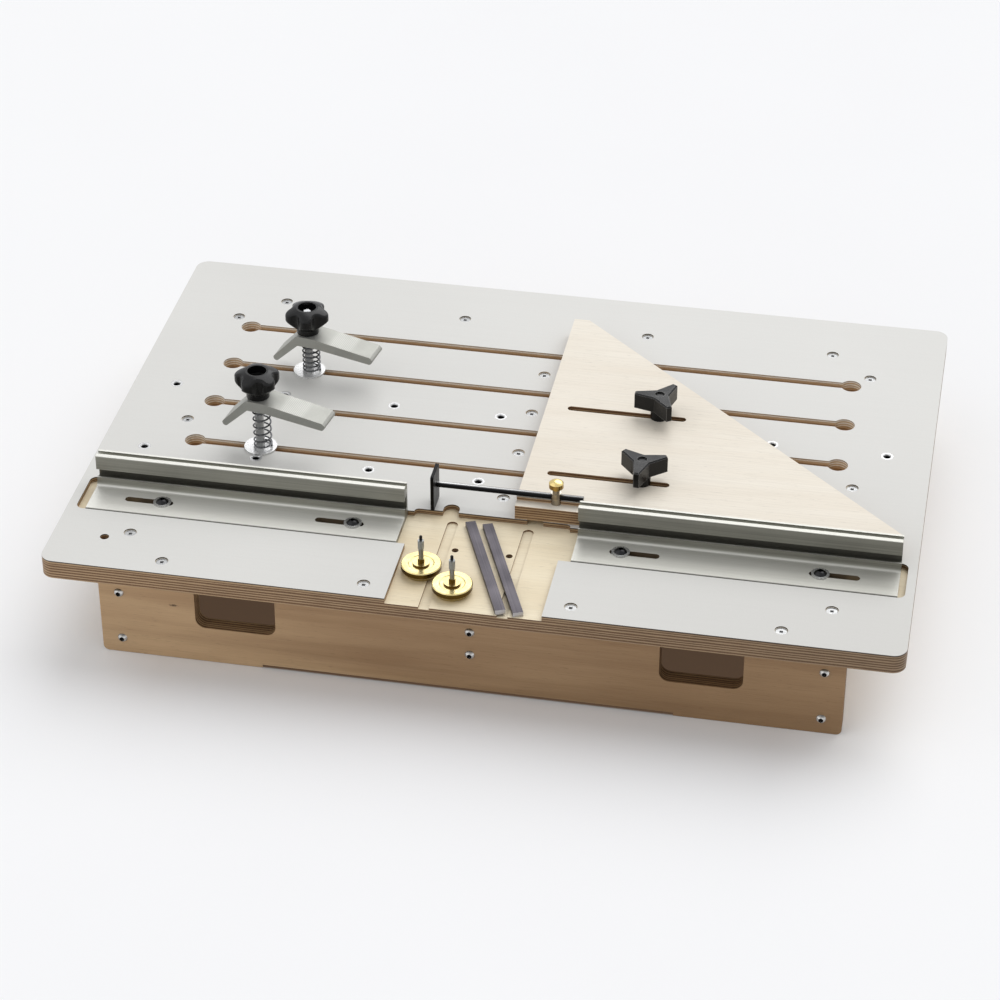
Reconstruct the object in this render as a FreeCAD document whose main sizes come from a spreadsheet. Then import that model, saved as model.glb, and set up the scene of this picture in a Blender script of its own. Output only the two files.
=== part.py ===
import FreeCAD, Part
import math
import os
import re
import Sketcher

# Joinery table. +Z is up, +Y runs from the front edge to the back edge, and the origin is on the
# ground below the middle of the top. Sizes are millimetres, angles degrees.
SIZES = {
    # Ply top with its facing.
    "top_width": 750,
    "top_depth": 527,
    "top_corner": 12,
    "ply_thick": 17,
    "facing_thick": 1,
    # Box under the top.
    "base_height": 80,
    "panel_thick": 15,
    "panel_corner": 5,
    "end_inset": 49,
    "front_inset": 10.5,
    "back_inset": 55,
    "side_inset": 67,
    "divider_offset": 3.8,
    "divider_height": 56,
    "relief_end": 144.5,
    "relief_height": 3,
    "grip_inset": 171,
    "grip_width": 72,
    "grip_height": 44,
    "grip_corner": 9,
    # Clamp slots, counted from the front edge.
    "slot_first": 207.9,
    "slot_pitch": 67.9,
    "slot_play": 1.5,
    "keyhole_play": 1.5,
    "keyhole_edge": 83.5,
    # Threaded inserts, in two rows.
    "insert_play": 0.2,
    "insert_outer": 11.4,
    "insert_long": 13,
    "insert_edge": 40.5,
    "insert_pitch": 105,
    "insert_inner": 23.3,
    "insert_front": 189.7,
    "insert_back": 298.5,
    "peg_bore": 8,
    "peg_edge": 46.7,
    "peg_front": 43.9,
    # Wood screws of the top and of the box.
    "fit_play": 0.1,
    "wood_shank": 4,
    "wood_long": 40,
    "wood_head": 9.6,
    "wood_cone": 3,
    "wood_sunk": 0.4,
    "wood_facing_play": 0.8,
    "wood_drive": 3,
    "wood_end": 106,
    "wood_inner_share": 0.12,
    "wood_margin": 36.4,
    "wood_divider_gap": 40.3,
    "wood_divider_step": 34.2,
    "wood_divider_back": 79.1,
    "panel_shank": 4.5,
    "panel_long": 38,
    "panel_head": 9,
    "panel_dome": 3,
    "panel_drive": 4,
    "panel_screw_high": 16,
    "panel_screw_mid": 40,
    "panel_screw_low": 15,
    # Fence pocket and the recess in the middle of the front edge.
    "pocket_depth": 5,
    "pocket_edge": 8,
    "pocket_corner": 6.35,
    "recess_half": 68,
    "recess_back": 137.5,
    "recess_back_half": 70,
    "recess_corner": 4,
    "notch_offset": 38,
    "notch_width": 14.4,
    "notch_front": 142,
    "groove_offset": 34,
    "groove_width": 9.5,
    "groove_depth": 1.8,
    "groove_back": 130,
    "lock_offset": 24,
    "lock_bore": 6,
    "lock_front": 87.5,
    # Fences.
    "fence_back": 132.5,
    "fence_depth": 49,
    "fence_play": 0.4,
    "fence_front_play": 1,
    "fence_height": 30.5,
    "fence_upright": 11.5,
    "fence_back_land": 2.4,
    "fence_groove": 4.5,
    "fence_groove_depth": 5.5,
    "fence_lip": 2,
    "fence_slot_low": 8.3,
    "fence_slot_high": 16.6,
    "fence_chamber_low": 6.4,
    "fence_chamber_high": 18.5,
    "fence_chamber_depth": 5.4,
    "fence_fillet": 4,
    "fence_edge": 0.8,
    "fence_left_end": 52.8,
    "fence_right_end": 55.5,
    "fence_slot_long": 44,
    "fence_slot_play": 1,
    "fence_shift": 12.2,
    "fence_screw_in": 119.3,
    "fence_screw_out": 82,
    "fence_screw_back": 28.5,
    "fence_shank": 6,
    "fence_screw_long": 20,
    "fence_head": 11.5,
    "fence_dome": 3.3,
    "fence_drive": 4,
    "washer_outer": 16,
    "washer_play": 0.4,
    "washer_thick": 1.2,
    # Triangle fence, placed from the third insert from the right.
    "tri_grip": 105,
    "tri_gap": 5.5,
    "tri_long": 339,
    "tri_deep": 318.5,
    "tri_top": 14.5,
    "tri_tip": 14,
    "tri_thick": 17,
    "tri_rebate": 9.5,
    "tri_rebate_depth": 3.3,
    "tri_slot_start": 20,
    "tri_slot_end": 130,
    "tri_slot_play": 1,
    "tri_stud": 6,
    "tri_stud_up": 16,
    "tri_stud_down": 11,
    "wing_hub": 16,
    "wing_reach": 23,
    "wing_tip": 5,
    "wing_valley": 8.5,
    "wing_low": 9.5,
    "wing_high": 25,
    "wing_edge": 1.2,
    "wing_dish": 9,
    "wing_dish_depth": 1.5,
    "rear_wing_turn": 60,
    "front_wing_turn": 25,
    # Stop on the triangle.
    "post_along": 35,
    "post_back": 11,
    "post_outer": 9,
    "post_base": 13.5,
    "post_top": 24.7,
    "post_stub": 5,
    "post_stub_long": 9,
    "collar_outer": 6.6,
    "collar_top": 27.9,
    "rod_bore_play": 0.08,
    "rod_outer": 5.5,
    "rod_high": 20.5,
    "rod_left": 107,
    "rod_right": 24.5,
    "rod_tenon": 4,
    "plate_thick": 3,
    "plate_front": 15,
    "plate_back": 9.5,
    "plate_low": 1,
    "plate_high": 36.5,
    "plate_corner": 1.5,
    "stop_shank": 4,
    "stop_tip_gap": 0.3,
    "stop_shank_high": 34,
    "stop_head_low": 28.4,
    "stop_head_step": 30.6,
    "stop_head_shoulder": 35,
    "stop_head_high": 38,
    "stop_head_neck": 8,
    "stop_head_outer": 13,
    # Hold-down clamps.
    "rear_clamp_edge": 158.3,
    "front_clamp_edge": 145.5,
    "rear_arm_high": 33.7,
    "front_arm_high": 45.5,
    "arm_turn": -9,
    "arm_wide": 25.4,
    "arm_play": 1,
    "arm_boss": 10,
    "arm_boss_back": 7,
    "arm_boss_front": 9.5,
    "arm_seat_front": 12,
    "arm_heel_reach": 32,
    "arm_heel_drop": 21.7,
    "arm_heel_wide": 3.5,
    "arm_heel_rise": 4.5,
    "arm_toe_reach": 70.6,
    "arm_toe_drop": 6,
    "arm_toe_thick": 7.5,
    "arm_round": 2.6,
    "arm_inner": 2,
    "arm_bend": 6,
    "arm_sweep": 30,
    "clamp_washer_outer": 30,
    "clamp_washer_play": 0.5,
    "clamp_washer_thick": 1.6,
    "bolt_outer": 8,
    "bolt_up": 66,
    "bolt_flange": 17.5,
    "bolt_flange_thick": 1.6,
    "bolt_hex": 13,
    "bolt_hex_high": 6,
    "bolt_chamfer": 0.8,
    "spring_room": 6.2,
    "spring_wire": 1.6,
    "spring_turns": 7,
    "spring_closed_turns": 0.75,
    "spring_closed_gap": 0.8,
    "spring_offset": 2.4,
    "spring_play": 0.1,
    "star_hub": 21,
    "star_foot": 5,
    "star_skirt": 16,
    "star_high": 26.5,
    "star_ring": 21,
    "star_fall": 6,
    "star_reach": 1,
    "star_lobe": 6.5,
    "star_lobe_at": 14.5,
    "star_valley": 5.5,
    "star_edge": 3,
    "star_under": 1.5,
    "star_play": 0.2,
    "star_cup": 17.5,
    "star_cup_depth": 8,
    "rear_star_turn": -9,
    "front_star_turn": 36,
    # Loose brass thumb knobs and guide bars in the recess.
    "thumb_outer": 35.3,
    "thumb_high": 9.4,
    "thumb_edge": 0.8,
    "thumb_under": 3,
    "thumb_under_high": 4.5,
    "thumb_dish": 23,
    "thumb_dish_depth": 0.6,
    "thumb_boss": 15,
    "thumb_boss_high": 1.2,
    "thumb_collar": 6,
    "thumb_collar_top": 14.5,
    "thumb_stud": 4.4,
    "thumb_seat": 6,
    "thumb_thread": 5.4,
    "thumb_thread_low": 24.7,
    "thumb_thread_high": 33,
    "thumb_pilot": 2.7,
    "thumb_stud_top": 38,
    "left_thumb_across": -46.5,
    "left_thumb_front": 51.2,
    "right_thumb_across": -14.4,
    "right_thumb_front": 27.4,
    "bar_long": 134,
    "bar_wide": 9,
    "bar_high": 4.5,
    "bar_turn": -68,
    "left_bar_across": 6.9,
    "left_bar_front": 65,
    "right_bar_across": 22.4,
    "right_bar_front": 64.3,
}

EDGE = "(top_width / 2)"
FRONT = "(-top_depth / 2)"
BACK = "(top_depth / 2)"
PLY_TOP = "(base_height + ply_thick)"
TOP = "(base_height + ply_thick + facing_thick)"
FLOOR = f"({TOP} - pocket_depth)"
FRONT_ROW = f"({FRONT} + front_inset + panel_thick / 2)"
BACK_ROW = f"({BACK} - back_inset - panel_thick / 2)"
SIDE = f"({EDGE} - side_inset)"
FRONT_JOINT = f"({FRONT} + front_inset + panel_thick)"
BACK_JOINT = f"({BACK} - back_inset - panel_thick)"
PANEL_HALF = f"({EDGE} - end_inset)"
FENCE_BACK = f"({FRONT} + fence_back)"
FENCE_SCREW = f"({FENCE_BACK} - fence_screw_back)"
TRI_LEFT = f"({EDGE} - insert_edge - 2 * insert_pitch - tri_grip)"
TRI_FRONT = f"({FENCE_BACK} + tri_gap)"
TRI_TOP = f"({TOP} + tri_thick)"
POST_X = f"({TRI_LEFT} + post_along)"
POST_Y = f"({TRI_FRONT} + post_back)"
TRI_KNOB_X = f"({EDGE} - insert_edge - 2 * insert_pitch)"
ROWS = {"front": f"({FRONT} + insert_front)", "rear": f"({FRONT} + insert_back)"}
SLOTS = [f"({FRONT} + slot_first + {k} * slot_pitch)" for k in range(4)]
CLAMPS = {
    "rear": (f"(-{EDGE} + rear_clamp_edge)", SLOTS[2], "rear_arm_high"),
    "front": (f"(-{EDGE} + front_clamp_edge)", SLOTS[0], "front_arm_high"),
}
INSERT_BORE = "(tri_stud + insert_play)"
SLOT_WIDTH = "(bolt_outer + slot_play)"
SUNK_HEAD = "(wood_head + 2 * wood_sunk + 2 * fit_play)"
BEYOND = 5  # how far an open cut runs past the edge it opens to

TOP_SCREWS = [(f"({s} * ({EDGE} - wood_end))", row) for row in (FRONT_ROW, BACK_ROW) for s in (-1, 1)]
TOP_SCREWS += [
    (f"({s} * top_width * wood_inner_share)", row) for row in (FRONT_ROW, BACK_ROW) for s in (-1, 1)
]
SIDE_ROWS = [
    f"({FRONT_ROW} + wood_margin)",
    f"(({FRONT_ROW} + {BACK_ROW}) / 2)",
    f"({BACK_ROW} - wood_margin)",
]
SIDE_SCREWS = {s: [(f"({s} * {SIDE})", row) for row in SIDE_ROWS] for s in (-1, 1)}
DIVIDER_ROWS = [f"({slot} + wood_divider_step)" for slot in SLOTS[:2]]
DIVIDER_ROWS += [f"({BACK_JOINT} - wood_divider_back)", f"({SLOTS[0]} - wood_divider_gap)"]
DIVIDER_SCREWS = [("divider_offset", row) for row in DIVIDER_ROWS]
ALL_TOP_SCREWS = TOP_SCREWS + SIDE_SCREWS[-1] + SIDE_SCREWS[1] + DIVIDER_SCREWS
SIDE_LEVELS = ["(base_height - panel_screw_high)", "panel_screw_low"]
DIVIDER_LEVELS = ["(base_height - panel_screw_high)", "(base_height - panel_screw_mid)"]
PANEL_SCREWS = [(f"({s} * {SIDE})", level) for s in (-1, 1) for level in SIDE_LEVELS]
PANEL_SCREWS += [("divider_offset", level) for level in DIVIDER_LEVELS]
INSERTS_X = [f"({EDGE} - insert_edge - {k} * insert_pitch)" for k in range(3)] + ["insert_inner"]
INSERTS = [(f"({s} * {x})", row) for row in ROWS.values() for x in INSERTS_X for s in (-1, 1)]
FENCE_SCREWS_X = ["fence_screw_in", f"({EDGE} - fence_screw_out)"]
FENCE_SCREWS = [(f"({s} * {x})", FENCE_SCREW) for x in FENCE_SCREWS_X for s in (-1, 1)]

doc = FreeCAD.newDocument("joinery_table")
sheet = doc.addObject("Spreadsheet::Sheet", "Dim")
for row, (alias, number) in enumerate(SIZES.items(), 1):
    sheet.set(f"A{row}", alias)
    sheet.set(f"B{row}", str(number))
    sheet.setAlias(f"B{row}", alias)
doc.recompute()
nodes = []


def bound(text):
    """An expression whose size names are read from the sheet."""
    return re.sub(r"[a-z_]+", lambda w: f"Dim.{w[0]}" if w[0] in SIZES else w[0], str(text))


def size(text):
    return float(sheet.evalExpression(bound(text)))


def node(kind, name):
    """A sub-part that is written to its own file."""
    made = doc.addObject(kind, name)
    made.Label = name
    nodes.append(made)
    return made


def body(name):
    return node("PartDesign::Body", name)


def form(name):
    """A body that only serves as the pattern for a group of fasteners."""
    return doc.addObject("PartDesign::Body", name)


def place(owner, x="0", y="0", z="0", turn="0"):
    owner.Placement = FreeCAD.Placement(
        FreeCAD.Vector(), FreeCAD.Rotation(FreeCAD.Vector(0, 0, 1), size(turn))
    )
    for axis, text in (("x", x), ("y", y), ("z", z)):
        owner.setExpression(f"Placement.Base.{axis}", bound(text))
    if turn != "0":
        owner.setExpression("Placement.Rotation.Angle", bound(f"({turn}) * 1 deg"))


def sketch(owner, plane, level="0"):
    made = owner.newObject("Sketcher::SketchObject", f"{owner.Name}_sketch")
    made.AttachmentSupport = [(next(f for f in owner.Origin.OriginFeatures if f.Role == plane), "")]
    made.MapMode = "FlatFace"
    made.setExpression("AttachmentOffset.Base.z", bound(level))
    return made


def pin(drawn, kind, geo, spot, text):
    """Holds one coordinate or diameter in a sketch to an expression."""
    at = (geo,) if spot is None else (geo, spot)
    index = drawn.addConstraint(Sketcher.Constraint(kind, *at, size(text)))
    drawn.setExpression(f"Constraints[{index}]", bound(text))


def circle(drawn, x, y, diameter):
    middle = FreeCAD.Vector(size(x), size(y), 0)
    curve = Part.Circle(middle, FreeCAD.Vector(0, 0, 1), size(diameter) / 2)
    geo = drawn.addGeometry(curve, False)
    pin(drawn, "Diameter", geo, None, diameter)
    pin(drawn, "DistanceX", geo, 3, x)
    pin(drawn, "DistanceY", geo, 3, y)


def arc_between(start, end, turn, middle):
    """An arc and the ends of it that are its start and end along the outline."""
    first, last = (start, end) if turn > 0 else (end, start)
    angles = [math.atan2(p.y - middle.y, p.x - middle.x) for p in (first, last)]
    whole = Part.Circle(middle, FreeCAD.Vector(0, 0, 1), (start - middle).Length)
    return Part.ArcOfCircle(whole, *angles), (1, 2) if turn > 0 else (2, 1)


def loop(drawn, corners):
    """A closed outline through corners (x, y), or (x, y, (turn, middle x, middle y)) ahead of an arc."""
    spots = [FreeCAD.Vector(size(c[0]), size(c[1]), 0) for c in corners]
    made = []
    for i, corner in enumerate(corners):
        start, end = spots[i], spots[(i + 1) % len(spots)]
        curve, ends = Part.LineSegment(start, end), (1, 2)
        if len(corner) == 3:
            turn, middle_x, middle_y = corner[2]
            middle = FreeCAD.Vector(size(middle_x), size(middle_y), 0)
            curve, ends = arc_between(start, end, turn, middle)
        made.append((drawn.addGeometry(curve, False), *ends))
    for i, (geo, start, end) in enumerate(made):
        after = made[(i + 1) % len(made)]
        drawn.addConstraint(Sketcher.Constraint("Coincident", geo, end, after[0], after[1]))
    for (geo, start, end), corner in zip(made, corners):
        pin(drawn, "DistanceX", geo, start, corner[0])
        pin(drawn, "DistanceY", geo, start, corner[1])
    for i, corner in enumerate(corners):
        if len(corner) == 3:
            chord = spots[(i + 1) % len(spots)] - spots[i]
            flat = abs(chord.x) > abs(chord.y)
            pin(drawn, "DistanceY" if flat else "DistanceX", made[i][0], 3, corner[2][2 if flat else 1])


def heading(start, end):
    """The signs of an axis-aligned step from one corner to the next."""
    steps = [size(end[k]) - size(start[k]) for k in (0, 1)]
    return [0 if abs(s) < 1e-6 else int(math.copysign(1, s)) for s in steps]


def moved(text, sign, radius):
    return text if sign == 0 else f"({text} {'+' if sign > 0 else '-'} {radius})"


def rounded(corners):
    """Corners of an outline along the axes, with arcs at those that give a radius."""
    out = []
    for i, corner in enumerate(corners):
        if len(corner) == 2 or not isinstance(corner[2], str):
            out.append(corner)
            continue
        x, y, radius = corner
        into = heading(corners[i - 1], corner)
        away = heading(corner, corners[(i + 1) % len(corners)])
        start = [moved(t, -s, radius) for t, s in zip((x, y), into)]
        end = [moved(t, s, radius) for t, s in zip((x, y), away)]
        middle = [moved(t, s, radius) for t, s in zip(start, away)]
        turn = 1 if into[0] * away[1] > into[1] * away[0] else -1
        out += [(*start, (turn, *middle)), tuple(end)]
    return out


def oblong(drawn, left, right, y, width):
    """A slot along X with round ends, left and right being its outer ends."""
    low, high = f"({y} - {width} / 2)", f"({y} + {width} / 2)"
    first, last = f"({left} + {width} / 2)", f"({right} - {width} / 2)"
    loop(drawn, [(first, low), (last, low, (1, last, y)), (last, high), (first, high, (1, first, y))])


def polygon(drawn, across, sides):
    """A regular polygon about the origin, sized across its flats."""
    reach = 0.5 / math.cos(math.pi / sides)
    turns = [2 * math.pi * (k + 0.5) / sides for k in range(sides)]
    loop(drawn, [(f"{reach * math.cos(a)} * {across}", f"{reach * math.sin(a)} * {across}") for a in turns])


def pad(owner, drawn, length, symmetric=False, flip=False):
    made = owner.newObject("PartDesign::Pad", f"{owner.Name}_pad")
    made.Profile = drawn
    made.SideType = "Symmetric" if symmetric else "One side"
    made.Reversed = flip
    made.setExpression("Length", bound(length))
    drawn.Visibility = False


def pocket(owner, drawn, depth=None, flip=False):
    """Cuts against the sketch's normal, or along it if flipped; all the way both ways without a depth."""
    made = owner.newObject("PartDesign::Pocket", f"{owner.Name}_pocket")
    made.Profile = drawn
    made.Reversed = flip
    if depth is None:
        made.Type = "ThroughAll"
        made.SideType = "Symmetric"
    else:
        made.setExpression("Length", bound(depth))
    drawn.Visibility = False


def revolve(owner, corners):
    """Turns a (radius, height) outline about the body's Z axis."""
    drawn = sketch(owner, "XZ_Plane")
    loop(drawn, corners)
    made = owner.newObject("PartDesign::Revolution", f"{owner.Name}_turned")
    made.Profile = drawn
    made.ReferenceAxis = (drawn, ["V_Axis"])
    made.Angle = 360
    drawn.Visibility = False


def groove(owner, corners):
    """Cuts a (radius, height) outline away all round the body's Z axis."""
    drawn = sketch(owner, "XZ_Plane")
    loop(drawn, corners)
    made = owner.newObject("PartDesign::Groove", f"{owner.Name}_groove")
    made.Profile = drawn
    made.ReferenceAxis = (drawn, ["V_Axis"])
    made.Angle = 360
    drawn.Visibility = False


def drill(owner, plane, level, spots, diameter, depth=None, flip=False):
    drawn = sketch(owner, plane, level)
    for x, y in spots:
        circle(drawn, x, y, diameter)
    pocket(owner, drawn, depth, flip)


def dress(owner, kind, amount, wanted):
    """A fillet or chamfer on the edges of the body that the test picks."""
    doc.recompute()
    base = owner.Tip
    names = [f"Edge{i}" for i, edge in enumerate(base.Shape.Edges, 1) if wanted(edge)]
    made = owner.newObject(f"PartDesign::{kind}", f"{owner.Name}_{kind.lower()}")
    made.Base = (base, names)
    made.setExpression("Radius" if kind == "Fillet" else "Size", bound(amount))


def level_edges(height):
    """Picks edges that lie at one height."""
    return lambda edge: max(abs(v.Z - size(height)) for v in edge.Vertexes) < 1e-4 and abs(
        edge.BoundBox.ZMax - edge.BoundBox.ZMin
    ) < 1e-4


def edges_between(low, high, inside):
    """Picks edges whose ends lie between two heights, outside a radius."""
    bottom, top, least = size(low), size(high), size(inside)
    return lambda edge: all(
        bottom < v.Z < top and math.hypot(v.X, v.Y) > least + 1e-3 for v in edge.Vertexes
    )


def group(name, pattern, places):
    """Copies of one fastener, kept as separate solids in one sub-part."""
    doc.recompute()
    copies = []
    for where in places:
        copy = pattern.Shape.copy()
        copy.Placement = where
        copies.append(copy)
    node("Part::Feature", name).Shape = Part.makeCompound(copies)


def upright(x, y, z):
    return FreeCAD.Placement(FreeCAD.Vector(size(x), size(y), size(z)), FreeCAD.Rotation())


def table_plate(name, low, thick):
    """The outline of the top, as wide and deep as the table."""
    made = body(name)
    drawn = sketch(made, "XY_Plane", low)
    corners = [(f"-{EDGE}", FRONT), (EDGE, FRONT), (EDGE, BACK), (f"-{EDGE}", BACK)]
    loop(drawn, rounded([(*corner, "top_corner") for corner in corners]))
    pad(made, drawn, thick)
    return made


def cut_pocket(owner, level, depth):
    """The fence pocket with the recess that opens to the front edge."""
    ends = f"({EDGE} - pocket_edge)"
    front = f"({FENCE_BACK} - fence_depth - fence_front_play)"
    back = f"({FENCE_BACK} + fence_play)"
    recess = f"({FRONT} + recess_back)"
    notch = f"({FRONT} + notch_front)"
    corners = [
        ("-recess_half", f"({FRONT} - {BEYOND})"),
        ("recess_half", f"({FRONT} - {BEYOND})"),
        ("recess_half", front),
        (ends, front, "pocket_corner"),
        (ends, back, "pocket_corner"),
        ("recess_back_half", back),
        ("recess_back_half", recess, "recess_corner"),
    ]
    for s in (1, -1):
        right = f"({s} * notch_offset + notch_width / 2)"
        left = f"({s} * notch_offset - notch_width / 2)"
        arc = (1, f"({s} * notch_offset)", notch)
        corners += [(right, recess), (right, notch, arc), (left, notch), (left, recess)]
    corners += [
        ("-recess_back_half", recess, "recess_corner"),
        ("-recess_back_half", back),
        (f"-{ends}", back, "pocket_corner"),
        (f"-{ends}", front, "pocket_corner"),
        ("-recess_half", front),
    ]
    drawn = sketch(owner, "XY_Plane", level)
    loop(drawn, rounded(corners))
    pocket(owner, drawn, depth)


def cut_slots(owner, level):
    """Clamp slots with a keyhole at each end, insert holes and the peg hole, all right through."""
    keyhole = f"({EDGE} - keyhole_edge)"
    drawn = sketch(owner, "XY_Plane", level)
    for y in SLOTS:
        low, high = f"({y} - {SLOT_WIDTH} / 2)", f"({y} + {SLOT_WIDTH} / 2)"
        corners = [(f"-{keyhole}", low), ("0", low), (keyhole, low), (keyhole, high), ("0", high)]
        loop(drawn, corners + [(f"-{keyhole}", high)])
    pocket(owner, drawn)
    keyholes = [(f"({s} * {keyhole})", y) for y in SLOTS for s in (-1, 1)]
    drill(owner, "XY_Plane", level, keyholes, "(bolt_flange + keyhole_play)")
    drill(owner, "XY_Plane", level, INSERTS, "(insert_outer + 2 * fit_play)")
    peg = (f"(-{EDGE} + peg_edge)", f"({FRONT} + peg_front)")
    drill(owner, "XY_Plane", level, [peg], "peg_bore")


def keep_slot_middles(owner):
    """Leaves each slot's sides in two lengths, so the wide faces around them divide evenly."""
    for feature in owner.Group:
        if "Refine" in feature.PropertiesList:
            feature.Refine = False


def make_top():
    facing = table_plate("top_facing", PLY_TOP, "facing_thick")
    drill(facing, "XY_Plane", TOP, ALL_TOP_SCREWS, f"({SUNK_HEAD} + wood_facing_play)")
    cut_slots(facing, TOP)
    cut_pocket(facing, TOP, "2 * facing_thick")
    keep_slot_middles(facing)

    ply = table_plate("top_panel", "base_height", "ply_thick")
    sunk = sketch(ply, "XY_Plane", PLY_TOP)
    for x, y in ALL_TOP_SCREWS:
        circle(sunk, x, y, "wood_shank")
    doc.recompute()
    made = ply.newObject("PartDesign::Hole", "top_panel_countersinks")
    made.Profile = sunk
    made.Threaded = False
    made.DepthType = "ThroughAll"
    made.HoleCutType = "Countersink"
    made.HoleCutCustomValues = True
    made.HoleCutCountersinkAngle = 90
    made.setExpression("Diameter", bound("(wood_shank + 2 * fit_play)"))
    made.setExpression("HoleCutDiameter", bound(SUNK_HEAD))
    sunk.Visibility = False
    cut_slots(ply, PLY_TOP)
    cut_pocket(ply, PLY_TOP, "(pocket_depth - facing_thick)")
    grooves = sketch(ply, "XY_Plane", FLOOR)
    for s in (-1, 1):
        left = f"({s} * groove_offset - groove_width / 2)"
        right = f"({s} * groove_offset + groove_width / 2)"
        bend = f"({FRONT} + groove_back - groove_width / 2)"
        open_end = f"({FRONT} - {BEYOND})"
        arc = (1, f"({s} * groove_offset)", bend)
        loop(grooves, [(left, open_end), (right, open_end), (right, bend, arc), (left, bend)])
    pocket(ply, grooves, "groove_depth")
    locks = [(f"({s} * lock_offset)", f"({FRONT} + lock_front)") for s in (-1, 1)]
    drill(ply, "XY_Plane", PLY_TOP, locks, "lock_bore")
    drill(ply, "XY_Plane", PLY_TOP, FENCE_SCREWS, "(fence_shank + 2 * fit_play)")
    keep_slot_middles(ply)


def pilot_holes(owner, spots):
    drill(owner, "XY_Plane", "base_height", spots, "(wood_shank + 2 * fit_play)", "wood_long")


def make_long_panel(name, face, top_spots, grips):
    """The front or back panel: a plank with a relieved foot, its front face at y = face."""
    made = body(name)
    drawn = sketch(made, "XZ_Plane", f"-({face} + panel_thick)")
    foot = f"({PANEL_HALF} - relief_end)"
    corners = [
        (f"-{PANEL_HALF}", "0", "panel_corner"),
        (f"-{foot}", "0"),
        (f"-{foot}", "relief_height"),
        (foot, "relief_height"),
        (foot, "0"),
        (PANEL_HALF, "0", "panel_corner"),
        (PANEL_HALF, "base_height"),
    ]
    for s in (1, -1) if grips else ():
        middle = f"({s} * ({EDGE} - grip_inset))"
        right, left = f"({middle} + grip_width / 2)", f"({middle} - grip_width / 2)"
        low = "(base_height - grip_height)"
        corners += [(right, "base_height"), (right, low, "grip_corner")]
        corners += [(left, low, "grip_corner"), (left, "base_height")]
    corners.append((f"-{PANEL_HALF}", "base_height"))
    loop(drawn, rounded(corners))
    pad(made, drawn, "panel_thick")
    drill(made, "XZ_Plane", f"-({face})", PANEL_SCREWS, "(panel_shank + 2 * fit_play)")
    pilot_holes(made, top_spots)


def make_cross_panel(name, middle, low, top_spots, levels):
    """A panel between the front and back panels, with screw holes in both ends."""
    made = body(name)
    drawn = sketch(made, "XY_Plane", low)
    left, right = f"({middle} - panel_thick / 2)", f"({middle} + panel_thick / 2)"
    loop(drawn, [(left, FRONT_JOINT), (right, FRONT_JOINT), (right, BACK_JOINT), (left, BACK_JOINT)])
    pad(made, drawn, f"(base_height - {low})")
    spots = [(middle, level) for level in levels]
    for joint, flip in ((FRONT_JOINT, False), (BACK_JOINT, True)):
        drill(made, "XZ_Plane", f"-{joint}", spots, "(panel_shank + 2 * fit_play)", "panel_long", flip)
    pilot_holes(made, top_spots)


def button_screw(name, shank, length, head, dome, drive):
    """A domed screw, its head's seat at z = 0."""
    made = form(name)
    ball = f"(({head} * {head} / 4 + {dome} * {dome}) / (2 * {dome}))"
    corners = [
        ("0", f"-{length}"),
        (f"{shank} / 2", f"-{length}"),
        (f"{shank} / 2", "0"),
        (f"{head} / 2", "0", (1, "0", f"({dome} - {ball})")),
        ("0", dome),
    ]
    revolve(made, corners)
    drawn = sketch(made, "XY_Plane", dome)
    polygon(drawn, drive, 6)
    pocket(made, drawn, f"{dome} * 0.8")
    return made


def make_base():
    make_long_panel("front_panel", f"({FRONT} + front_inset)", TOP_SCREWS[0:2] + TOP_SCREWS[4:6], True)
    make_long_panel("back_panel", BACK_JOINT, TOP_SCREWS[2:4] + TOP_SCREWS[6:8], False)
    make_cross_panel("left_panel", f"(-1 * {SIDE})", "0", SIDE_SCREWS[-1], SIDE_LEVELS)
    make_cross_panel("right_panel", f"(1 * {SIDE})", "0", SIDE_SCREWS[1], SIDE_LEVELS)
    low = "(base_height - divider_height)"
    make_cross_panel("divider", "divider_offset", low, DIVIDER_SCREWS, DIVIDER_LEVELS)

    screw = form("top_screw_form")
    corners = [
        ("0", "-wood_long"),
        ("wood_shank / 2", "-wood_long"),
        ("wood_shank / 2", "-(wood_head - wood_shank) / 2"),
        ("wood_head / 2", "0"),
        ("0", "0"),
    ]
    revolve(screw, corners)
    drive = sketch(screw, "XY_Plane")
    polygon(drive, "wood_drive", 4)
    pocket(screw, drive, "wood_cone / 2")
    sunk = f"({PLY_TOP} - wood_sunk)"
    group("top_screws", screw, [upright(x, y, sunk) for x, y in ALL_TOP_SCREWS])

    screw = button_screw(
        "base_screw_form", "panel_shank", "panel_long", "panel_head", "panel_dome", "panel_drive"
    )
    faces = ((f"({FRONT} + front_inset)", 90), (f"({BACK} - back_inset)", -90))
    places = []
    for face, tilt in faces:
        lay = FreeCAD.Rotation(FreeCAD.Vector(1, 0, 0), tilt)
        for x, z in PANEL_SCREWS:
            places.append(FreeCAD.Placement(FreeCAD.Vector(size(x), size(face), size(z)), lay))
    group("base_screws", screw, places)

    insert = form("insert_form")
    corners = [
        (f"{INSERT_BORE} / 2", "-insert_long"),
        ("insert_outer / 2", "-insert_long"),
        ("insert_outer / 2", "0"),
        (f"{INSERT_BORE} / 2 + fence_edge", "0"),
        (f"{INSERT_BORE} / 2", "-fence_edge"),
    ]
    revolve(insert, corners)
    group("threaded_inserts", insert, [upright(x, y, TOP) for x, y in INSERTS])


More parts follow.
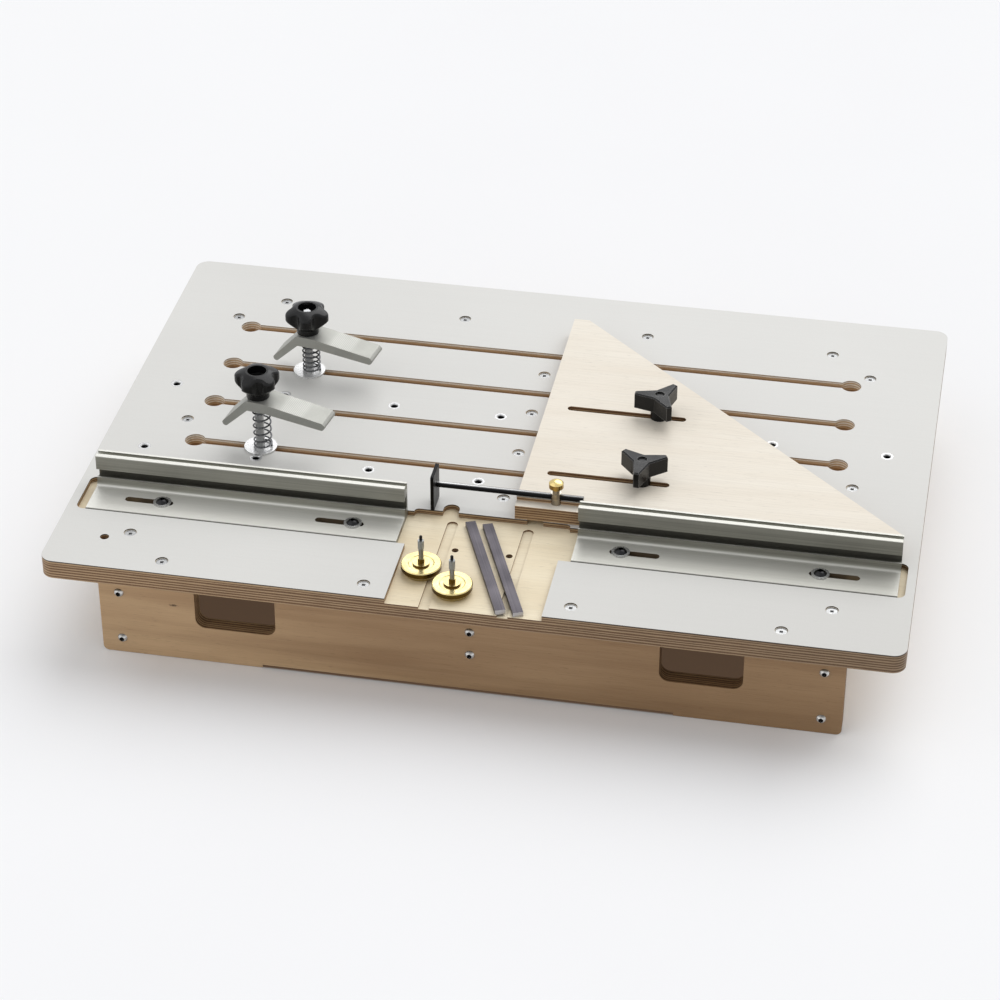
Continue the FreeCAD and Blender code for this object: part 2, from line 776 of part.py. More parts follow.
def make_fence(name, first):
    """An aluminium angle with a groove along its top and a T-slot along its face."""
    made = body(name)
    front = f"({FENCE_BACK} - fence_depth)"
    face = f"({FENCE_BACK} - fence_upright)"
    ridge = f"({TOP} + fence_height)"
    land = f"({FENCE_BACK} - fence_back_land)"
    groove = f"({land} - fence_groove)"
    inner = f"({face} + fence_lip)"
    deep = f"({inner} + fence_chamber_depth)"
    corners = [
        (front, FLOOR),
        (FENCE_BACK, FLOOR),
        (FENCE_BACK, ridge),
        (land, ridge),
        (land, f"({ridge} - fence_groove_depth)"),
        (groove, f"({ridge} - fence_groove_depth)"),
        (groove, ridge),
        (face, ridge, "fence_edge"),
        (face, f"({TOP} + fence_slot_high)"),
        (inner, f"({TOP} + fence_slot_high)"),
        (inner, f"({TOP} + fence_chamber_high)"),
        (deep, f"({TOP} + fence_chamber_high)"),
        (deep, f"({TOP} + fence_chamber_low)"),
        (inner, f"({TOP} + fence_chamber_low)"),
        (inner, f"({TOP} + fence_slot_low)"),
        (face, f"({TOP} + fence_slot_low)"),
        (face, TOP, "fence_fillet"),
        (front, TOP, "fence_edge"),
    ]
    pitch = f"({FENCE_SCREWS_X[1]} - fence_screw_in)"
    drawn = sketch(made, "YZ_Plane", f"({first} - fence_left_end)")
    loop(drawn, rounded(corners))
    pad(made, drawn, f"(fence_left_end + {pitch} + fence_right_end)")
    drawn = sketch(made, "XY_Plane", TOP)
    half, width = "fence_slot_long / 2", "(fence_shank + fence_slot_play)"
    for middle in (first, f"({first} + {pitch})"):
        oblong(drawn, f"({middle} - {half})", f"({middle} + {half})", FENCE_SCREW, width)
    pocket(made, drawn, "2 * pocket_depth")


def ring(made, bore, outer, low, high):
    drawn = [(f"{bore} / 2", low), (f"{outer} / 2", low), (f"{outer} / 2", high), (f"{bore} / 2", high)]
    revolve(made, drawn)


def make_fences():
    make_fence("left_fence", f"(-{FENCE_SCREWS_X[1]} - fence_shift)")
    make_fence("right_fence", "(fence_screw_in + fence_shift)")
    washer = form("fence_washer_form")
    ring(washer, "(fence_shank + washer_play)", "washer_outer", "0", "washer_thick")
    group("fence_washers", washer, [upright(x, y, TOP) for x, y in FENCE_SCREWS])
    screw = button_screw(
        "fence_screw_form", "fence_shank", "fence_screw_long", "fence_head", "fence_dome", "fence_drive"
    )
    seat = f"({TOP} + washer_thick)"
    group("fence_screws", screw, [upright(x, y, seat) for x, y in FENCE_SCREWS])


def make_triangle():
    made = body("triangle_fence")
    drawn = sketch(made, "XY_Plane", TOP)
    right, back = f"({TRI_LEFT} + tri_long)", f"({TRI_FRONT} + tri_deep)"
    corners = [
        (TRI_LEFT, TRI_FRONT),
        (right, TRI_FRONT),
        (right, f"({TRI_FRONT} + tri_tip)"),
        (f"({TRI_LEFT} + tri_top)", back),
        (TRI_LEFT, back),
    ]
    loop(drawn, corners)
    pad(made, drawn, "tri_thick")
    drawn = sketch(made, "XY_Plane", TRI_TOP)
    low, high = f"({TRI_FRONT} - {BEYOND})", f"({TRI_FRONT} + tri_rebate)"
    left, right = f"({TRI_LEFT} - {BEYOND})", f"({right} + {BEYOND})"
    loop(drawn, [(left, low), (right, low), (right, high), (left, high)])
    pocket(made, drawn, "tri_rebate_depth")
    drawn = sketch(made, "XY_Plane", TRI_TOP)
    for y in ROWS.values():
        start, end = f"({TRI_LEFT} + tri_slot_start)", f"({TRI_LEFT} + tri_slot_end)"
        oblong(drawn, start, end, y, "(tri_stud + tri_slot_play)")
    pocket(made, drawn)
    post = [(POST_X, POST_Y)]
    depth = "(tri_thick - post_base)"
    drill(made, "XY_Plane", TRI_TOP, post, "(post_outer + 4 * fit_play)", depth)
    depth = f"({depth} + post_stub_long + fit_play)"
    drill(made, "XY_Plane", TRI_TOP, post, "(post_stub + 2 * fit_play)", depth)


def make_wing_knob(name, row, turn):
    """A three-wing knob on its stud, the hub standing on the triangle."""
    stud = body(f"{name}_tri_stud")
    corners = [
        ("0", "-(tri_thick + tri_stud_down)"),
        ("tri_stud / 2", "-(tri_thick + tri_stud_down)"),
        ("tri_stud / 2", "tri_stud_up"),
        ("0", "tri_stud_up"),
    ]
    revolve(stud, corners)
    place(stud, TRI_KNOB_X, row, TRI_TOP)

    knob = body(f"{name}_tri_knob")
    drawn = sketch(knob, "XY_Plane")
    circle(drawn, "0", "0", "wing_hub")
    pad(knob, drawn, "wing_high")
    drawn = sketch(knob, "XY_Plane", "wing_low")
    corners = []
    for k in range(3):
        along = math.radians(120 * k)
        c, s = math.cos(along), math.sin(along)
        for side in (-1, 1):
            x = f"({c} * wing_reach - {side * s} * wing_tip / 2)"
            corners.append((x, f"({s} * wing_reach + {side * c} * wing_tip / 2)"))
        between = along + math.radians(60)
        corners.append((f"({math.cos(between)} * wing_valley)", f"({math.sin(between)} * wing_valley)"))
    loop(drawn, corners)
    pad(knob, drawn, "(wing_high - wing_low)")
    dress(knob, "Chamfer", "wing_edge", level_edges("wing_high"))
    drill(knob, "XY_Plane", "wing_high", [("0", "0")], "wing_dish", "wing_dish_depth")
    drill(knob, "XY_Plane", "0", [("0", "0")], "(tri_stud + 2 * fit_play)", "(tri_stud_up + fit_play)", True)
    place(knob, TRI_KNOB_X, row, TRI_TOP, turn)


def make_stop():
    post = body("stop_post")
    bore = "(stop_shank / 2 + fit_play)"
    corners = [
        ("0", "(post_base - post_stub_long)"),
        ("post_stub / 2", "(post_base - post_stub_long)"),
        ("post_stub / 2", "post_base"),
        ("post_outer / 2", "post_base"),
        ("post_outer / 2", "post_top"),
        ("collar_outer / 2", "post_top"),
        ("collar_outer / 2", "collar_top"),
        (bore, "collar_top"),
        (bore, "rod_high"),
        ("0", "rod_high"),
    ]
    revolve(post, corners)
    drill(post, "YZ_Plane", "0", [("0", "rod_high")], "(rod_outer + 2 * rod_bore_play)")
    place(post, POST_X, POST_Y, TOP)

    rod = body("stop_rod")
    drawn = sketch(rod, "YZ_Plane", "-rod_left - plate_thick")
    circle(drawn, "0", "rod_high", "rod_tenon")
    pad(rod, drawn, "2 * plate_thick")
    drawn = sketch(rod, "YZ_Plane", "-rod_left")
    circle(drawn, "0", "rod_high", "rod_outer")
    pad(rod, drawn, "(rod_left + rod_right)")
    place(rod, POST_X, POST_Y, TOP)

    plate = body("stop_plate")
    drawn = sketch(plate, "YZ_Plane", "-rod_left - plate_thick")
    corners = [("-plate_front", "plate_low"), ("plate_back", "plate_low")]
    corners += [("plate_back", "plate_high"), ("-plate_front", "plate_high")]
    loop(drawn, rounded([(*corner, "plate_corner") for corner in corners]))
    pad(plate, drawn, "plate_thick")
    drill(plate, "YZ_Plane", "-rod_left", [("0", "rod_high")], "(rod_tenon + 2 * fit_play)")
    place(plate, POST_X, POST_Y, TOP)

    shank = body("stop_screw")
    tip = "(rod_high + rod_outer / 2 + stop_tip_gap)"
    corners = [("0", tip), ("stop_shank / 2", tip)]
    corners += [("stop_shank / 2", "stop_shank_high"), ("0", "stop_shank_high")]
    revolve(shank, corners)
    place(shank, POST_X, POST_Y, TOP)

    head = body("stop_head")
    rise = "(stop_head_high - stop_head_shoulder)"
    ball = f"((stop_head_outer * stop_head_outer / 4 + {rise} * {rise}) / (2 * {rise}))"
    corners = [
        (bore, "stop_head_low"),
        ("stop_head_neck / 2", "stop_head_low"),
        ("stop_head_neck / 2", "(stop_head_low + stop_head_step) / 2"),
        ("stop_head_outer / 2", "stop_head_step"),
        ("stop_head_outer / 2", "stop_head_shoulder", (1, "0", f"(stop_head_high - {ball})")),
        ("0", "stop_head_high"),
        ("0", "(stop_shank_high + fit_play)"),
        (bore, "(stop_shank_high + fit_play)"),
    ]
    revolve(head, corners)
    place(head, POST_X, POST_Y, TOP)


def star_outline(drawn):
    """Five round lobes joined by round valleys, each arc tangent to the next."""
    reach = "(star_lobe + star_valley)"
    side = f"({math.sin(math.pi / 5)} * star_lobe_at)"
    out = f"({math.cos(math.pi / 5)} * star_lobe_at + sqrt({reach} * {reach} - {side} * {side}))"

    def at(radius, step):
        angle = math.pi * step / 5
        return f"({math.cos(angle)} * {radius})", f"({math.sin(angle)} * {radius})"

    def touch(lobe, valley):
        return tuple(f"({a} + ({b} - {a}) * star_lobe / {reach})" for a, b in zip(lobe, valley))

    corners = []
    for k in range(5):
        lobe = at("star_lobe_at", 2 * k)
        before, after = at(out, 2 * k - 1), at(out, 2 * k + 1)
        corners.append((*touch(lobe, before), (1, *lobe)))
        corners.append((*touch(lobe, after), (-1, *after)))
    loop(drawn, corners)


def make_star_knob(name, x, y, seat, turn):
    """A five-lobed knob: its top falls away from a ring, its underside tapers to the hub."""
    made = body(name)
    drawn = sketch(made, "XY_Plane", "star_foot")
    star_outline(drawn)
    pad(made, drawn, "(star_high - star_foot)")
    ring_edge, hub = "star_ring / 2", "star_hub / 2"
    rim = "(star_lobe_at + star_lobe + star_reach)"
    low = f"(star_high - ({rim} * {rim} - star_ring * star_ring / 4 + star_fall * star_fall) / (2 * star_fall))"
    above, below = "(star_high + star_reach)", "(star_foot - star_reach)"
    dome = [(ring_edge, "star_high", (-1, "0", low)), (rim, "(star_high - star_fall)")]
    groove(made, dome + [(rim, above), (ring_edge, above)])
    groove(made, [(hub, below), (rim, below), (rim, "star_skirt"), (hub, "star_foot")])
    dress(made, "Fillet", "star_edge", edges_between("(star_high - star_fall)", "star_high", hub))
    dress(made, "Fillet", "star_under", edges_between("star_foot", "star_skirt", hub))
    drawn = sketch(made, "XY_Plane")
    circle(drawn, "0", "0", "star_hub")
    pad(made, drawn, "(star_foot + star_under)")
    drill(made, "XY_Plane", "star_high", [("0", "0")], "star_cup", "star_cup_depth")
    drill(made, "XY_Plane", "star_high", [("0", "0")], "(bolt_outer + star_play)")
    place(made, x, y, seat, turn)


def make_arm(name, x, y, seat):
    """A bent clamp arm: heel down on one side, long toe on the other, boss between them."""
    made = body(name)
    corners = [
        ("(-arm_heel_reach + arm_heel_wide)", "-arm_heel_drop"),
        ("-arm_seat_front / 2", "0"),
        ("arm_seat_front", "0"),
        ("(arm_toe_reach - arm_heel_wide)", "-arm_toe_drop"),
        ("arm_toe_reach", "(-arm_toe_drop + arm_toe_thick / 2)"),
        ("(arm_toe_reach - arm_heel_wide)", "(-arm_toe_drop + arm_toe_thick)"),
        ("arm_boss_front", "arm_boss"),
        ("-arm_boss_back", "arm_boss"),
        ("-arm_heel_reach", "(-arm_heel_drop + arm_heel_rise)"),
    ]
    drawn = sketch(made, "XZ_Plane")
    loop(drawn, corners)
    pad(made, drawn, "arm_wide", symmetric=True)

    def corner_edges(picked):
        spots = [(size(corners[k][0]), size(corners[k][1])) for k in picked]

        def wanted(edge):
            ends = [(v.X, v.Z) for v in edge.Vertexes]
            return len(ends) == 2 and any(
                max(math.hypot(a - p, b - q) for p, q in ends) < 1e-4 for a, b in spots
            )

        return wanted

    dress(made, "Fillet", "arm_round", corner_edges((0, 3, 4, 5, 8)))
    dress(made, "Fillet", "arm_bend", corner_edges((7,)))
    dress(made, "Fillet", "arm_inner", corner_edges((1, 2)))
    dress(made, "Fillet", "arm_sweep", corner_edges((6,)))
    drill(made, "XY_Plane", "0", [("0", "0")], "(bolt_outer + arm_play)")
    place(made, x, y, seat, "arm_turn")


def arc_edge(start, tangent, end):
    """The arc that leaves start along the tangent and ends at end."""
    chord = end - start
    along = FreeCAD.Vector(chord).normalize()
    side = (tangent - along * tangent.dot(along)).normalize()
    bend = math.acos(min(1, tangent.dot(along)))
    return Part.Arc(start, start + chord * 0.5 + side * (chord.Length / 2 * math.tan(bend / 2)), end).toShape()


def spring_path(height):
    """Points and tangents of the wire's middle at each quarter turn, closer wound at both ends."""
    wire = size("spring_wire")
    mean = (size("bolt_outer + spring_room") + wire) / 2
    turns = size("spring_turns")
    closed = size("spring_closed_turns")
    close_pitch = wire + size("spring_closed_gap")
    blend = 0.5
    open_pitch = (height - wire - close_pitch * (2 * closed + blend)) / (turns - 2 * closed - blend)

    def pitch(at):
        share = (min(at, turns - at) - closed) / blend
        return close_pitch + (open_pitch - close_pitch) * min(1, max(0, share))

    steps = 64
    levels = [wire / 2]
    for k in range(round(turns * steps)):
        levels.append(levels[-1] + pitch((k + 0.5) / steps) / steps)
    points, tangents = [], []
    for quarter in range(round(turns * 4) + 1):
        angle = quarter * math.pi / 2
        ray = FreeCAD.Vector(math.cos(angle), math.sin(angle), 0)
        points.append(ray * mean + FreeCAD.Vector(0, 0, levels[quarter * steps // 4]))
        run = FreeCAD.Vector(-ray.y, ray.x, pitch(quarter / 4) / (2 * math.pi * mean))
        tangents.append(run.normalize())
    return points, tangents


def biarc(start, leaving, end, arriving):
    """Two arcs in a row from one point and tangent to the next."""
    chord = end - start
    both = leaving + arriving
    a = 2 * (1 - leaving.dot(arriving))
    b = 2 * chord.dot(both)
    reach = (-b + math.sqrt(b * b + 4 * a * chord.dot(chord))) / (2 * a)
    join = (start + leaving * reach + end - arriving * reach) * 0.5
    back = arc_edge(end, arriving * -1, join)
    return [arc_edge(start, leaving, join), back]


def make_spring(name, x, y, height):
    """Wire wound in one unbroken tube, standing on the clamp's washer."""
    wire = size("spring_wire")
    points, tangents = spring_path(height)
    edges = []
    for k in range(len(points) - 1):
        edges += biarc(points[k], tangents[k], points[k + 1], tangents[k + 1])
    path = Part.Wire(edges)
    section = Part.Wire(Part.makeCircle(wire / 2, points[0], tangents[0]))
    samples = path.discretize(Number=round(size("spring_turns") * 48))
    apart = [
        (a - b).Length for i, a in enumerate(samples) for b in samples[i + 24 :]
    ]
    print(f"{name}: least gap between turns {min(apart) - wire:.2f} mm")
    made = node("Part::Feature", name)
    made.Shape = path.makePipeShell([section], True, False)
    low = f"({TOP} + clamp_washer_thick + spring_play)"
    made.Placement = upright(f"({x} + spring_offset)", y, low)


def make_clamps():
    for side, (x, y, high) in CLAMPS.items():
        name = f"{side}_clamp"
        washer = body(f"{name}_washer")
        bore = "(bolt_outer + clamp_washer_play)"
        ring(washer, bore, "clamp_washer_outer", "0", "clamp_washer_thick")
        place(washer, x, y, TOP)

        bolt = body(f"{name}_bolt")
        top = "(ply_thick + facing_thick + bolt_up)"
        corners = [
            ("0", "-bolt_flange_thick"),
            ("bolt_flange / 2", "-bolt_flange_thick"),
            ("bolt_flange / 2", "0"),
            ("bolt_outer / 2", "0"),
            ("bolt_outer / 2", f"({top} - bolt_chamfer)"),
            ("bolt_outer / 2 - bolt_chamfer", top),
            ("0", top),
        ]
        revolve(bolt, corners)
        drawn = sketch(bolt, "XY_Plane", "-bolt_flange_thick")
        polygon(drawn, "bolt_hex", 6)
        pad(bolt, drawn, "bolt_hex_high", flip=True)
        place(bolt, x, y, "base_height")

        seat = f"({TOP} + {high})"
        make_spring(f"{name}_spring", x, y, size(f"({high} - clamp_washer_thick - 2 * spring_play)"))
        make_arm(f"{name}_arm", x, y, seat)
        make_star_knob(f"{name}_knob", x, y, f"({seat} + arm_boss)", f"{side}_star_turn")


def make_thumb(side):
    """A brass thumb knob lying disc down, its stud pointing up."""
    x, y = f"{side}_thumb_across", f"({FRONT} + {side}_thumb_front)"
    disc = body(f"{side}_thumb_disc")
    bore = "(thumb_stud / 2 + fit_play)"
    floor = "(thumb_high - thumb_dish_depth)"
    corners = [
        ("0", "0"),
        ("(thumb_outer / 2 - thumb_under)", "0"),
        ("thumb_outer / 2", "thumb_under_high"),
        ("thumb_outer / 2", "(thumb_high - thumb_edge)"),
        ("(thumb_outer / 2 - thumb_edge)", "thumb_high"),
        ("thumb_dish / 2", "thumb_high"),
        ("(thumb_dish / 2 - thumb_edge)", floor),
        ("thumb_boss / 2", floor),
        ("thumb_boss / 2", "(thumb_high + thumb_boss_high)"),
        ("thumb_collar / 2", "(thumb_high + thumb_boss_high)"),
        ("thumb_collar / 2", "thumb_collar_top"),
        (bore, "thumb_collar_top"),
        (bore, "thumb_seat"),
        ("0", "thumb_seat"),
    ]
    revolve(disc, corners)
    place(disc, x, y, FLOOR)
    stud = body(f"{side}_thumb_stud")
    corners = [
        ("0", "thumb_seat"),
        ("thumb_stud / 2", "thumb_seat"),
        ("thumb_stud / 2", "thumb_thread_low"),
        ("thumb_thread / 2", "thumb_thread_low"),
        ("thumb_thread / 2", "thumb_thread_high"),
        ("thumb_pilot / 2", "thumb_thread_high"),
        ("thumb_pilot / 2", "(thumb_stud_top - thumb_edge)"),
        ("(thumb_pilot / 2 - thumb_edge)", "thumb_stud_top"),
        ("0", "thumb_stud_top"),
    ]
    revolve(stud, corners)
    place(stud, x, y, FLOOR)


def make_bar(side):
    made = body(f"{side}_guide_bar")
    drawn = sketch(made, "XY_Plane")
    x, y = "bar_long / 2", "bar_wide / 2"
    loop(drawn, [(f"-{x}", f"-{y}"), (x, f"-{y}"), (x, y), (f"-{x}", y)])
    pad(made, drawn, "bar_high")
    place(made, f"{side}_bar_across", f"({FRONT} + {side}_bar_front)", FLOOR, "bar_turn")


make_top()
make_base()
make_fences()
make_triangle()
for which, wing_turn in (("rear", "rear_wing_turn"), ("front", "front_wing_turn")):
    make_wing_knob(which, ROWS[which], wing_turn)
make_stop()
make_clamps()
for hand in ("left", "right"):
    make_thumb(hand)
    make_bar(hand)
doc.recompute()

broken = [o.Name for o in doc.Objects if "Invalid" in o.State or "Error" in o.State]
broken += [n.Label for n in nodes if n.Shape.isNull() or not n.Shape.isValid() or not n.Shape.Solids]
if broken:
    raise RuntimeError(f"not built: {', '.join(broken)}")
os.makedirs("parts", exist_ok=True)
for made in nodes:
    made.Shape.exportStep(f"parts/{made.Label}.step")
print(f"{len(nodes)} sub-parts written")
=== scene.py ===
"""Looks of a joinery table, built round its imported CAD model."""

import math

import bpy
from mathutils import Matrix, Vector


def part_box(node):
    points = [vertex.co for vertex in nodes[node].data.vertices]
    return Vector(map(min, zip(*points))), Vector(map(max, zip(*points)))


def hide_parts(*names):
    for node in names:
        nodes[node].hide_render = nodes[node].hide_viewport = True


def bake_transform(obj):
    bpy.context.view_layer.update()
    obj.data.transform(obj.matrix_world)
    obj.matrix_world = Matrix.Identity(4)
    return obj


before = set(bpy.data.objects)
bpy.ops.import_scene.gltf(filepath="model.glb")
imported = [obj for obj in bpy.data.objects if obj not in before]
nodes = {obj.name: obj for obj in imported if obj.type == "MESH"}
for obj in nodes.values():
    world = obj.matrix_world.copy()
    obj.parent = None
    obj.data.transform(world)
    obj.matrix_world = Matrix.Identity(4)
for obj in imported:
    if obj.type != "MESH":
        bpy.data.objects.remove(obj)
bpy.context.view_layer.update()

X, Y, Z = 0, 1, 2

# Screen colours of birch ply, the palest and the deepest of each veneer.
PANEL_PALE, PANEL_DEEP = (212, 180, 140), (176, 142, 105)
TOP_PALE, TOP_DEEP = (238, 226, 199), (219, 202, 169)
TRIANGLE_PALE, TRIANGLE_DEEP = (234, 227, 214), (224, 214, 198)
PANEL_PLIES, TOP_PLIES = 11, 13

# Tones of a cut edge: two of the pale plies, two of the dark ones, and the glue.
EDGE_TONES = ((166, 136, 102), (198, 168, 130), (98, 70, 47), (140, 106, 75), (70, 49, 33))
# Slot walls: the same plies painted lighter as painted light, palest at the mouth as a painted
# highlight.
LIT_MOUTH_TONES = ((255, 248, 234), (255, 251, 242), (214, 186, 150), (224, 198, 164), (158, 126, 94))
LIT_WALL_TONES = ((204, 170, 130), (216, 184, 144), (162, 129, 95), (180, 147, 111), (118, 91, 66))

# Bands in metres, which a tone fills from one limit to the other.
SLOTS_X = (-0.306, 0.306)
SLOTS_Y = (-0.075, 0.168)
# Painted shade on the pocket floor under the fence slots:
FENCE_SLOT_SHADE_X = (0.095, 0.316)
FENCE_SLOT_SHADE_Y = (-0.164, -0.155)
POCKET_FLOOR_Z = (0.0925, 0.0935)
GROOVE_Y = (-0.1380, -0.1332)
GROOVE_Z = (0.1200, 0.1272)
# Painted shade fills the fence's T-slot, lip and screw slots within the next bands.
T_SLOT_Y = (-0.1412, -0.1300)
T_SLOT_Z = (0.1035, 0.1172)
FENCE_LIP_Y = (-0.1806, -0.1788)
SCREW_SLOT_Y = (-0.1645, -0.1545)
ARM_MILLED = (0.026, 0.048)
STUD_SLEEVE = (0.0247, 0.0330)
# Painted shade and a painted glow on the floor under the open box:
FLOOR_SHADE_X = (-0.31, 0.31)
FLOOR_SHADE_Y = (-0.2520, 0.2075)

# Ramps in metres, where a tone begins at the first limit and is full at the second.
# The next four ramps place painted light at the mouths of slots and keyholes, and painted shade below
# them.
SLOT_MOUTH_Z = (0.0940, 0.0947)
SLOT_SHADE_Z = (0.0930, 0.0890)
KEYHOLES_X = (0.282, 0.286)
KEYHOLE_MOUTH_Z = (0.0880, 0.0905)
# Painted shade darkens the top's outer edges along this ramp.
TOP_EDGE_SHADE_X = (-0.3, 0.375)
# Painted shade darkens the facing towards the front right along these two ramps.
FACING_SHADE_X = (-0.25, 0.375)
FACING_SHADE_Y = (0.15, -0.26)
# Painted shade darkens the fences towards the right along this ramp.
FENCE_SHADE_X = (-0.36, 0.36)
# Painted shade darkens the flange's front face along this ramp.
FENCE_RIM_Y = (-0.1794, -0.1798)
# Painted shade browns the front panel towards the right along this ramp.
PANEL_SHADE_X = (-0.30, 0.14)
# A painted highlight along the rod's top fades along this ramp.
ROD_HIGHLIGHT_X = (0.06, -0.06)
# Painted shade darkens the inserts' holes below this ramp.
INSERT_RIM_Z = (0.0952, 0.0972)
# Painted shade fills the base screws' drives inside this ramp.
DRIVE_RADIUS = (0.0023, 0.0019)
# Painted light lifts the floor beside the ends along this ramp.
FLOOR_ENDS_X = (0.27, 0.44)

# Places and sizes in metres.
KNOT_X = -0.259
KNOT_Z = 0.057
KNOT_LENGTH = 0.0042
KNOT_HEIGHT = 0.0014
RECESS_FLOOR_Z = 0.093
STUD_BANDS_HEIGHT = 0.05
BASE_SCREWS_X = (-0.308, 0.0038, 0.308)
BASE_SCREWS_Z = (0.064, 0.040, 0.015)
CLAMPS = {"rear": (-0.2167, 0.0802), "front": (-0.2295, -0.0556)}
TRI_KNOBS = {"rear": (0.1245, 0.035), "front": (0.1245, -0.0738)}
STOP = (0.0545, -0.1145)
THUMBS = {"left": (-0.0465, -0.2123), "right": (-0.0144, -0.2361)}

# Turns from the x axis, in degrees.
ARM_TURN, BAR_TURN = -9, -68

# Thread pitches in metres.
BOLT_PITCH, STUD_PITCH, STOP_PITCH, SLEEVE_PITCH = 0.00125, 0.001, 0.0007, 0.0008

# The clamp springs in metres. Each coil's axis lies a little east of its bolt.
WIRE = 0.0016
COIL_RADIUS = 0.0079
CLOSED_PITCH = 0.0024
SPRING_EAST = 0.0024

# Turns of a spring: all of them, those wound close at each end, and those where the pitch opens.
TURNS = 7
CLOSED_TURNS = 0.75
EASE_TURNS = 0.5

# Sections in a turn of a spring, and points round its wire.
TURN_STEPS = 64
WIRE_SIDES = 14

# The floor in metres, and the sky's strength as a light and to the camera.
FLOOR_REACH = 8.0
FLOOR_Z = -0.0004
SKY_AS_LIGHT = 0.48
SKY_SEEN = 1.0

# Sockets of a node that mixes two colours.
MIX_SHARE, MIX_FIRST, MIX_SECOND, MIX_COLOUR = 0, 6, 7, 2


def srgb(red, green, blue):
    """A screen colour, 0 to 255 each, as the linear colour that a shader takes."""
    def linear(value):
        value /= 255
        return value / 12.92 if value <= 0.04045 else ((value + 0.055) / 1.055) ** 2.4

    return linear(red), linear(green), linear(blue), 1.0


def darker(colour, share):
    """A share of a screen colour, for a shader."""
    return srgb(*[share * part for part in colour])


class Look:
    """A Principled material with textures in the piece's own coordinates."""

    def __init__(self, name, **constants):
        self.material = bpy.data.materials.new(name)
        self.material.use_nodes = True
        self.tree = self.material.node_tree
        self.shader = self.tree.nodes["Principled BSDF"]
        for title, value in constants.items():
            self.shader.inputs[title.replace("_", " ")].default_value = value
        where = self.tree.nodes.new("ShaderNodeTexCoord")
        self.at = where.outputs["Object"]
        self.x, self.y, self.z = self.split(self.at)
        self.normal = self.split(where.outputs["Normal"])
        self.across = [self.math("ABSOLUTE", part) for part in self.normal]

    def feed(self, socket, value):
        """Links a socket to another one, or gives it a plain value."""
        if isinstance(value, bpy.types.NodeSocket):
            self.tree.links.new(value, socket)
        else:
            socket.default_value = value

    def split(self, vector):
        made = self.tree.nodes.new("ShaderNodeSeparateXYZ")
        self.feed(made.inputs[0], vector)
        return made.outputs[:]

    def join(self, *parts):
        made = self.tree.nodes.new("ShaderNodeCombineXYZ")
        for socket, part in zip(made.inputs, parts):
            self.feed(socket, part)
        return made.outputs[0]

    def math(self, operation, *values):
        made = self.tree.nodes.new("ShaderNodeMath")
        made.operation = operation
        for socket, value in zip(made.inputs, values):
            self.feed(socket, value)
        return made.outputs[0]

    def both(self, first, second):
        """One where two masks are both one."""
        return self.math("MULTIPLY", first, second)

    def total(self, *weighted):
        """Sum of values, each times its weight."""
        parts = [self.math("MULTIPLY", value, weight) for value, weight in weighted]
        made = parts[0]
        for part in parts[1:]:
            made = self.math("ADD", made, part)
        return made

    def length(self, first, second):
        """Length of a step from its two parts at right angles."""
        return self.math("SQRT", self.total((first, first), (second, second)))

    def span(self, value, low, high, to_low=0.0, to_high=1.0):
        """One range mapped to another, and held at its ends."""
        made = self.tree.nodes.new("ShaderNodeMapRange")
        titles = ("Value", "From Min", "From Max", "To Min", "To Max")
        for title, given in zip(titles, (value, low, high, to_low, to_high)):
            self.feed(made.inputs[title], given)
        return made.outputs[0]

    def spread(self, noise, to_low=0.0, to_high=1.0):
        """The range that most of a noise lies in, mapped to another."""
        return self.span(noise, 0.3, 0.7, to_low, to_high)

    def within(self, value, low, high, soft):
        """One between two limits, none outside them, with soft steps."""
        rise = self.span(value, low - soft, low + soft)
        return self.both(rise, self.span(value, high + soft, high - soft))

    def flat(self, axis):
        """One on the faces that lie square to an axis."""
        return self.span(self.across[axis], 0.5, 0.75)

    def noise(self, scales, detail=2.0, roughness=0.5, distortion=0.0, at=None):
        """Noise with so many waves a metre, the same on all axes or one number for each."""
        stretched = self.tree.nodes.new("ShaderNodeVectorMath")
        stretched.operation = "MULTIPLY"
        self.feed(stretched.inputs[0], at or self.at)
        self.feed(stretched.inputs[1], scales if isinstance(scales, tuple) else (scales,) * 3)
        made = self.tree.nodes.new("ShaderNodeTexNoise")
        self.feed(made.inputs["Vector"], stretched.outputs[0])
        made.inputs["Scale"].default_value = 1.0
        made.inputs["Detail"].default_value = detail
        made.inputs["Roughness"].default_value = roughness
        made.inputs["Distortion"].default_value = distortion
        return made.outputs[0]

    def mix(self, share, first, second, blend="MIX"):
        """The first colour, changed to the second so far as the share says."""
        made = self.tree.nodes.new("ShaderNodeMix")
        made.data_type = "RGBA"
        made.blend_type = blend
        self.feed(made.inputs[MIX_SHARE], share)
        self.feed(made.inputs[MIX_FIRST], first)
        self.feed(made.inputs[MIX_SECOND], second)
        return made.outputs[MIX_COLOUR]

    def tint(self, share, colour, red, green, blue):
        """A colour multiplied by a linear one, so far as the share says."""
        return self.mix(share, colour, (red, green, blue, 1), "MULTIPLY")

    def bands(self, value, stops):
        """Colours that change sharply at each stop."""
        made = self.tree.nodes.new("ShaderNodeValToRGB")
        made.color_ramp.interpolation = "CONSTANT"
        marks = made.color_ramp.elements
        for place, _ in stops[2:]:
            marks.new(place)
        for mark, (place, colour) in zip(marks, stops):
            mark.position = place
            mark.color = colour
        self.feed(made.inputs[0], value)
        return made.outputs[0]

    def relief(self, height, strength, distance):
        made = self.tree.nodes.new("ShaderNodeBump")
        made.inputs["Strength"].default_value = strength
        made.inputs["Distance"].default_value = distance
        self.feed(made.inputs["Height"], height)
        self.feed(self.shader.inputs["Normal"], made.outputs[0])

    def paint(self, colour, roughness=None):
        self.feed(self.shader.inputs["Base Color"], colour)
        if roughness is not None:
            self.feed(self.shader.inputs["Roughness"], roughness)

